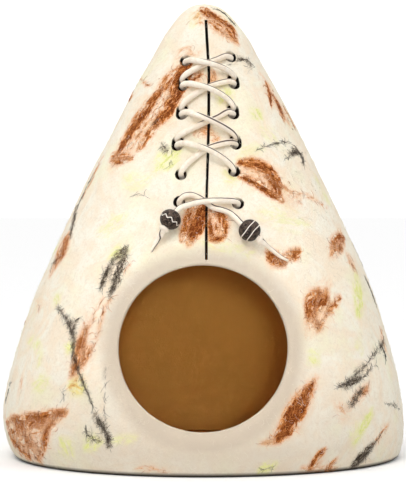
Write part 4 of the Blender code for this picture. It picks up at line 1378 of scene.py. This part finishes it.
# %% Felt colours
CREAM, CREAM_WARM = painted(244, 238, 222), painted(243, 227, 203)
CREAM_LIME, CREAM_SHADE = painted(241, 238, 207), painted(224, 208, 184)
PAINTED_WARM_SHADE = painted(204, 189, 169)
WoolLook = namedtuple("WoolLook", "name veil veil_share veil_full ink deep ink_from ink_full soft")
WOOL_LOOKS = [      # lime lies lowest, then rust, then brown-grey
    WoolLook("lime", painted(230, 229, 152), 0.95, 0.95,
             painted(218, 220, 144), painted(206, 208, 128), 0.68, 0.4, 0.05),
    WoolLook("rust", painted(241, 168, 92), 1.0, 0.80,
             painted(176, 97, 42), painted(104, 46, 14), 0.582, 0.78, 0.08),
    WoolLook("charcoal", painted(190, 172, 142), 0.75, 0.95,
             painted(108, 92, 76), painted(40, 32, 26), 0.585, 0.55, 0.08),
]
DEEP_STEP = 0.1         # the darkest fibres start this far above the plain dark ones
OCHRE_RAMP = [(0.3, painted(246, 186, 98)), (0.7, painted(240, 180, 92))]
# painted bounce light on the rim, painted shade high inside, and near-black painted shade at slit, holes and
# foot
PEACH, UMBER, CUT_AND_FOOT_SHADE = painted(226, 160, 116), painted(48, 28, 15), painted(8, 4, 2)


# %% Felt material
def lay_wool(tree, colour, look, squiggles, cloud):
    """One wool over the fleece: a soft veil, and in it darker curly fibres, denser where there is more."""
    amount = attribute(tree, look.name)
    uneven = calculate(tree, "MULTIPLY_ADD", smooth_step(tree, cloud, 0.3, 0.7), 1.3, 0.3)
    ragged = times(tree, amount, calculate(tree, "MULTIPLY_ADD", amount, 0.12, uneven))
    veil = times(tree, smooth_step(tree, ragged, 0.0, look.veil_full), look.veil_share)
    colour = mixed(tree, veil, colour, look.veil)
    denser = calculate(tree, "MULTIPLY_ADD", calculate(tree, "MINIMUM", ragged, 1.1), 0.2, squiggles)
    for shade, start in ((look.ink, look.ink_from), (look.deep, look.ink_from + DEEP_STEP)):
        edge = smooth_step(tree, denser, start - look.soft, start + look.soft)
        colour = mixed(tree, times(tree, edge, smooth_step(tree, ragged, 0.06, look.ink_full)), colour, shade)
    return colour


def fleece_colour(tree, here, matted):
    """Undyed cream with warm, yellow clouds, painted shade in hollows, warm painted shade low and by the
    entrance.
    """
    colour = mixed(tree, smooth_step(tree, matted["Cloud"], 0.35, 0.68), CREAM, CREAM_WARM)
    yellow = smooth_step(tree, noise_at(tree, here, 19.0, 3.0, 0.55), 0.5, 0.7)
    colour = mixed(tree, times(tree, yellow, 0.65), colour, CREAM_LIME)
    shade = smooth_step(tree, matted["Height"], 0.60, 0.42)
    colour = mixed(tree, times(tree, shade, 0.5), colour, CREAM_SHADE)
    # painted warm shade: darker, warmer cream low down in the middle and round the entrance
    return mixed(tree, attribute(tree, "warmth"), colour, PAINTED_WARM_SHADE)


def lining_colour(tree, here, matted):
    """The ochre inside of the cave, with painted shade that darkens it to umber towards the tip."""
    ochre = add_node(tree, "ShaderNodeValToRGB", {"Fac": matted["Cloud"]})
    for element, (place, colour) in zip(ochre.color_ramp.elements, OCHRE_RAMP):
        element.position, element.color = place, colour
    height = add_node(tree, "ShaderNodeSeparateXYZ", {0: here}).outputs[2]
    return mixed(tree, smooth_step(tree, height, 0.185, 0.225), ochre.outputs["Color"], UMBER)


def felt_material():
    material, tree, shader = new_surface(
        "cream wet-felted wool", Specular_IOR_Level=0.1, Sheen_Weight=0.02, Sheen_Roughness=0.6,
        Sheen_Tint=(1.0, 0.97, 0.92, 1.0),
    )
    here = object_place(tree)
    matted = place_group(tree, MATTED, {"Vector": here, "Size": 0.034})
    drawn = place_group(tree, DRAWN, {"Along": attribute(tree, "along"), "Across": attribute(tree, "across")})
    curls = noise_at(tree, here, 340.0, 3.0, 0.65, 2.6)
    squiggles = calculate(tree, "ADD", times(tree, drawn["Strands"], 0.5), times(tree, curls, 0.5))
    colour = fleece_colour(tree, here, matted)
    for look in WOOL_LOOKS:
        colour = lay_wool(tree, colour, look, squiggles, drawn["Patches"])
    frayed = times(tree, calculate(tree, "SUBTRACT", matted["Height"], 0.55), 0.3)
    skin = calculate(tree, "ADD", attribute(tree, "skin"), frayed)
    # painted bounce light: a peach band in the wall, where the ochre lining would light the rim
    colour = mixed(tree, smooth_step(tree, skin, 0.66, 0.80), colour, PEACH)
    colour = mixed(tree, smooth_step(tree, skin, 0.80, 0.94), colour, lining_colour(tree, here, matted))
    # painted shade: near-black in the slit and the lace holes, on the inside round them and on the foot's
    # edge
    colour = mixed(tree, attribute(tree, "cut"), colour, CUT_AND_FOOT_SHADE)
    height = matted["Height"]
    finish_surface(tree, shader, colour, smooth_step(tree, height, -1.0, 1.4), (height, 0.45, 0.001))
    return material


shell.data.materials.append(felt_material())
print("felt:", len(shell.data.materials[0].node_tree.nodes), "nodes")

# %% [markdown]
# ## Loose fibres
# Up close a wisp is a tangle of fine curly hairs. A hair system would do it too, but hair doesn't survive
# an export, so short tapered strands are laid on the shell as real geometry: each walks along its wisp,
# turns a little at every step, and is put back on the nearest point of the felt. One curve holds them all
# as thin bevelled splines and is then turned into a mesh. Plain cream hairs cover the whole cave and soften
# its outline.

# %% Loose fibres: one fibre
FIBRE_STEPS = 5
FIBRE_LOWEST = 0.5 * MM     # a fibre stays this far above the floor


def walk(start, heading, length, curl, lift, dice):
    """Points of one fibre that lies on the felt."""
    place, outward, _index, _away = felt_tree.find_nearest(start)
    turn = math.radians(dice.gauss(0.0, curl))
    points = []
    for step in range(FIBRE_STEPS + 1):
        point = place + outward * lift * (0.35 + math.sin(math.pi * step / FIBRE_STEPS))
        points.append(Vector((point.x, point.y, max(point.z, FIBRE_LOWEST))))
        heading = (heading - outward * heading.dot(outward)).normalized()
        heading = Matrix.Rotation(turn + math.radians(dice.gauss(0.0, curl * 0.6)), 3, outward) @ heading
        place, outward, _index, _away = felt_tree.find_nearest(place + heading * length / FIBRE_STEPS)
    return points


felt_tree = BVHTree.FromObject(shell, bpy.context.evaluated_depsgraph_get())

# %% Loose fibres: all the strands of a piece
Tuft = namedtuple("Tuft", "name wool density length thickness wander curl lift seed dark light")
TUFTS = [
    Tuft("rust_dark_fibres", "rust", 0.09, (3.5, 10.0), 0.17, 36.0, 34.0, 0.16, 3,
         painted(126, 64, 24), painted(190, 110, 52)),
    Tuft("rust_light_fibres", "rust", 0.035, (5.0, 13.0), 0.16, 36.0, 26.0, 0.18, 4,
         painted(206, 124, 58), painted(238, 170, 100)),
    Tuft("charcoal_fibres", "charcoal", 0.24, (3.5, 9.0), 0.15, 34.0, 26.0, 0.16, 5,
         painted(50, 42, 37), painted(104, 92, 82)),
    Tuft("lime_fibres", "lime", 0.02, (5.0, 12.0), 0.14, 40.0, 28.0, 0.12, 7,
         painted(212, 214, 148), painted(234, 234, 188)),
]
FIBRE_LIP, FUZZ_LIP = 14.0 * MM, 3.0 * MM   # how far coloured fibres and cream hairs keep off the entrance
THIN_BELOW = {"rust": 7.0 * MM, "charcoal": 11.0 * MM, "lime": 7.0 * MM}    # a narrower wisp is a thin one
FUZZ_HAIRS, FUZZ_THICKNESS, FUZZ_CURL, FUZZ_SEED = 3600, 0.11, 40.0, 17


def tuft_strands(tuft):
    """Fibres in every wisp of one wool. In a thin wisp they run along it, and in a wide one every way."""
    dice = random.Random(tuft.seed)
    strands = []
    for wool, width, strength, path in WISPS:
        if wool != tuft.wool or len(path) < 3:
            continue
        taper = tapered(len(path))
        area = float((taper * width).sum() * 2.0)
        thin = max(0.0, 1.0 - width / THIN_BELOW[wool])
        count = round(area / MM * tuft.density * strength ** 1.8 * (1.0 + 10.0 * thin * thin))
        wander = tuft.wander * (1.0 - 0.8 * thin)
        curl = tuft.curl * (1.0 - 0.7 * thin)
        for _ in range(count):
            i = min(len(path) - 2, max(1, int(dice.betavariate(1.25, 1.25) * len(path))))
            heading = Vector(path[i + 1] - path[i - 1]).normalized()
            outward = Vector((path[i][0], path[i][1], 0.0)).normalized()
            side = heading.cross(outward).normalized()
            start = Vector(path[i]) + side * dice.gauss(0.0, 0.28) * width * taper[i]
            if entrance_distance(start) < FIBRE_LIP and start.y < 0.0:
                continue
            swing = Matrix.Rotation(math.radians(dice.gauss(0.0, wander)), 3, outward)
            way = swing @ (heading * dice.choice((-1, 1)))
            length = dice.uniform(*tuft.length) * MM
            strands.append((walk(start, way, length, curl, tuft.lift * MM, dice), dice.uniform(0.5, 1.2)))
    return strands


def fuzz_strands():
    """Cream hairs all over the outside, finer than the coloured ones and standing off a little more."""
    dice = random.Random(FUZZ_SEED)
    strands = []
    while len(strands) < FUZZ_HAIRS:
        turn, z = dice.uniform(-180.0, 180.0), 0.47 * (1.0 - math.sqrt(dice.random())) + 4.0 * MM
        start = turned_felt(turn, z)
        if start.y < 0.0 and entrance_distance(start) < FUZZ_LIP:
            continue
        heading = Vector([dice.gauss(0, 1) for _ in range(3)]).normalized()
        length, lift = dice.uniform(4.0, 11.0) * MM, dice.uniform(0.1, 0.9) * MM
        strands.append((walk(start, heading, length, FUZZ_CURL, lift, dice), dice.uniform(0.6, 1.2)))
    return strands


# %% Loose fibres: pieces
def fibre_material(name, dark, light):
    material, tree, shader = new_surface(name, Specular_IOR_Level=0.08, Sheen_Weight=0.02)
    matted = place_group(tree, MATTED, {"Vector": object_place(tree), "Size": 0.010})
    colour = mixed(tree, smooth_step(tree, matted["Cloud"], 0.3, 0.7), dark, light)
    finish_surface(tree, shader, colour, smooth_step(tree, matted["Height"], -1.0, 1.3))
    return material


def strands_to_piece(name, strands, thickness, dark, light):
    """Many thin tapered splines in one curve, turned into one mesh."""
    curve = bpy.data.curves.new(name, "CURVE")
    curve.dimensions, curve.bevel_depth, curve.bevel_resolution = "3D", 1.0, 0
    for points, scale in strands:
        spline = curve.splines.new("POLY")
        spline.points.add(len(points) - 1)
        for number, (point, target) in enumerate(zip(points, spline.points)):
            swell = 0.3 + 0.7 * math.sin(math.pi * (number + 0.6) / (len(points) + 0.2))
            target.co, target.radius = (*point, 1.0), thickness * MM * scale * swell
    holder = bpy.data.objects.new(name, curve)
    bpy.context.scene.collection.objects.link(holder)
    mesh = bpy.data.meshes.new_from_object(holder.evaluated_get(bpy.context.evaluated_depsgraph_get()))
    bpy.data.objects.remove(holder)
    bpy.data.curves.remove(curve)
    mesh.name = name
    mesh.shade_smooth()
    print(name, len(strands), "strands,", triangles(mesh), "triangles")
    return add_piece(name, mesh, fibre_material(name.replace("_", " "), dark, light))


fibres = []
for tuft in TUFTS:
    fibres.append(strands_to_piece(tuft.name, tuft_strands(tuft), tuft.thickness, tuft.dark, tuft.light))
fibres.append(strands_to_piece(
    "cream_fibres", fuzz_strands(), FUZZ_THICKNESS, painted(228, 219, 200), painted(240, 233, 217),
))

# %% [markdown]
# ## Lace and clay materials
# The lace is soft pale cotton. Its own UV map runs once round the cord and once along it, so the dark line
# in the seam is a band at the middle of U. The clay is nearly black and speckled, and the scratched lines
# are filled with white slip, which the attribute called line places.

# %% Lace and clay materials
SEAM_LINE = (0.078, 0.052)      # shares of the way round at which the dark line ends and is full


def lace_material():
    material, tree, shader = new_surface("pale soft lace", Specular_IOR_Level=0.25, Sheen_Weight=0.15)
    uv = add_node(tree, "ShaderNodeUVMap", uv_map="UVMap").outputs[0]
    round_cord, along_cord, _ = add_node(tree, "ShaderNodeSeparateXYZ", {0: uv}).outputs
    stretched = {0: times(tree, round_cord, 14.0), 1: times(tree, along_cord, 420.0)}
    threads = noise_at(tree, add_node(tree, "ShaderNodeCombineXYZ", stretched).outputs[0], 1.6, 3.0, 0.6)
    here = object_place(tree)
    matted = place_group(tree, MATTED, {"Vector": here, "Size": 0.012})
    pale, shaded = painted(252, 243, 228), painted(242, 227, 206)
    colour = mixed(tree, smooth_step(tree, matted["Cloud"], 0.3, 0.7), pale, shaded)
    from_seam = calculate(tree, "ABSOLUTE", calculate(tree, "SUBTRACT", round_cord, 0.5))
    wobbling = calculate(tree, "ADD", from_seam, times(tree, noise_at(tree, here, 90.0, 2.0), 0.03))
    seam = times(tree, smooth_step(tree, wobbling, *SEAM_LINE), 0.95)
    colour = mixed(tree, seam, colour, painted(62, 33, 19))
    finish_surface(tree, shader, colour, smooth_step(tree, threads, -1.2, 1.2), (threads, 0.35, 0.0004))
    return material


def clay_material():
    material, tree, shader = new_surface("dark speckled clay", Specular_IOR_Level=0.25)
    here = object_place(tree)
    grain, cloud = noise_at(tree, here, 620.0, 3.0, 0.7), noise_at(tree, here, 330.0, 4.0, 0.6)
    colour = mixed(tree, smooth_step(tree, cloud, 0.38, 0.62), painted(22, 13, 8), painted(82, 66, 56))
    colour = mixed(tree, smooth_step(tree, grain, 0.60, 0.70), colour, painted(150, 132, 118))
    filled = calculate(tree, "ADD", attribute(tree, "line"), times(tree, grain, 0.25))
    colour = mixed(tree, smooth_step(tree, filled, 0.48, 0.78), colour, painted(236, 228, 216))
    finish_surface(tree, shader, colour, smooth_step(tree, grain, -0.4, 1.3), (grain, 0.4, 0.0003))
    return material


lace_cotton, clay = lace_material(), clay_material()
for piece in (lace, *knots):
    piece.data.materials.append(lace_cotton)
for piece in beads:
    piece.data.materials.append(clay)
print("materials:", [m.name for m in bpy.data.materials if m.users])

# %% [markdown]
# ## Stage and light
# The photograph is a plain product shot: white ground, one large soft light from the upper left and a
# bright surround. The floor is one large pale sheet, and the world behind it has the same white.

# %% Floor
GROUND_SEEN, GROUND_BOUNCE = 0.97, 0.62     # how pale the ground looks, and how much light it throws up
FLOOR_REACH = 12.0


def make_floor():
    bm = bmesh.new()
    bmesh.ops.create_grid(bm, x_segments=2, y_segments=2, size=FLOOR_REACH)
    material, tree, shader = new_surface("white ground", Roughness=0.9, Specular_IOR_Level=0.0)
    seen = add_node(tree, "ShaderNodeLightPath").outputs["Is Camera Ray"]
    bounce, paper = ((level, level, level, 1.0) for level in (GROUND_BOUNCE, GROUND_SEEN))
    tree.links.new(mixed(tree, seen, bounce, paper), shader.inputs["Base Color"])
    return add_piece("floor", finished_mesh(bm, "floor"), material)


floor = make_floor()
print("floor:", tuple(floor.dimensions))

# %% Light
SURROUND_SEEN, SURROUND_HORIZON, SURROUND_TOP = 1.2, 0.45, 1.10
Light = namedtuple("Light", "name place target size power colour spread")
LIGHTS = [
    Light("key", (-0.55, -2.0, 2.1), (0.0, 0.0, 0.25), 0.9, 20.5, (1.0, 0.985, 0.965), 180.0),
    Light("front", (0.1, -3.2, 0.42), (0.0, 0.0, 0.13), 0.5, 0.127, (1.0, 0.98, 0.95), 9.0),
]


def make_world():
    """A white surround, brighter overhead than at the horizon. What the camera sees of it is plain white."""
    world = bpy.data.worlds.new("white surround")
    world.use_nodes = True
    tree = world.node_tree
    way = add_node(tree, "ShaderNodeTexCoord").outputs["Generated"]
    risen = smooth_step(tree, add_node(tree, "ShaderNodeSeparateXYZ", {0: way}).outputs[2], -0.1, 0.75)
    light = calculate(tree, "MULTIPLY_ADD", risen, SURROUND_TOP - SURROUND_HORIZON, SURROUND_HORIZON)
    seen = times(tree, add_node(tree, "ShaderNodeLightPath").outputs["Is Camera Ray"], SURROUND_SEEN)
    background = tree.nodes["Background"].inputs
    background["Color"].default_value = (1.0, 1.0, 1.0, 1.0)
    tree.links.new(calculate(tree, "MAXIMUM", light, seen), background["Strength"])
    bpy.context.scene.world = world


def make_light(row):
    data = bpy.data.lights.new(row.name, "AREA")
    data.shape, data.size, data.energy, data.color = "DISK", row.size, row.power, row.colour
    data.spread = math.radians(row.spread)
    light = bpy.data.objects.new(row.name, data)
    bpy.context.scene.collection.objects.link(light)
    light.location = row.place
    light.rotation_mode = "QUATERNION"
    light.rotation_quaternion = (Vector(row.target) - Vector(row.place)).to_track_quat("-Z", "Y")
    return light


make_world()
lights = [make_light(row) for row in LIGHTS]
bpy.context.scene.view_settings.view_transform = "Standard"
bpy.context.scene.view_settings.look = "None"
print("lights:", [light.name for light in lights])

# %% Ride and replace
NODES = ("felt_shell", "lace", "bead_left", "bead_right")
for piece, node, slot in zip((shell, lace, *beads), NODES, ("felt", "lace", "clay", "clay")):
    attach(piece, "root")
    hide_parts(node)
for piece, slot in [(piece, "felt") for piece in fibres] + [(piece, "lace") for piece in knots]:
    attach(piece, "root")
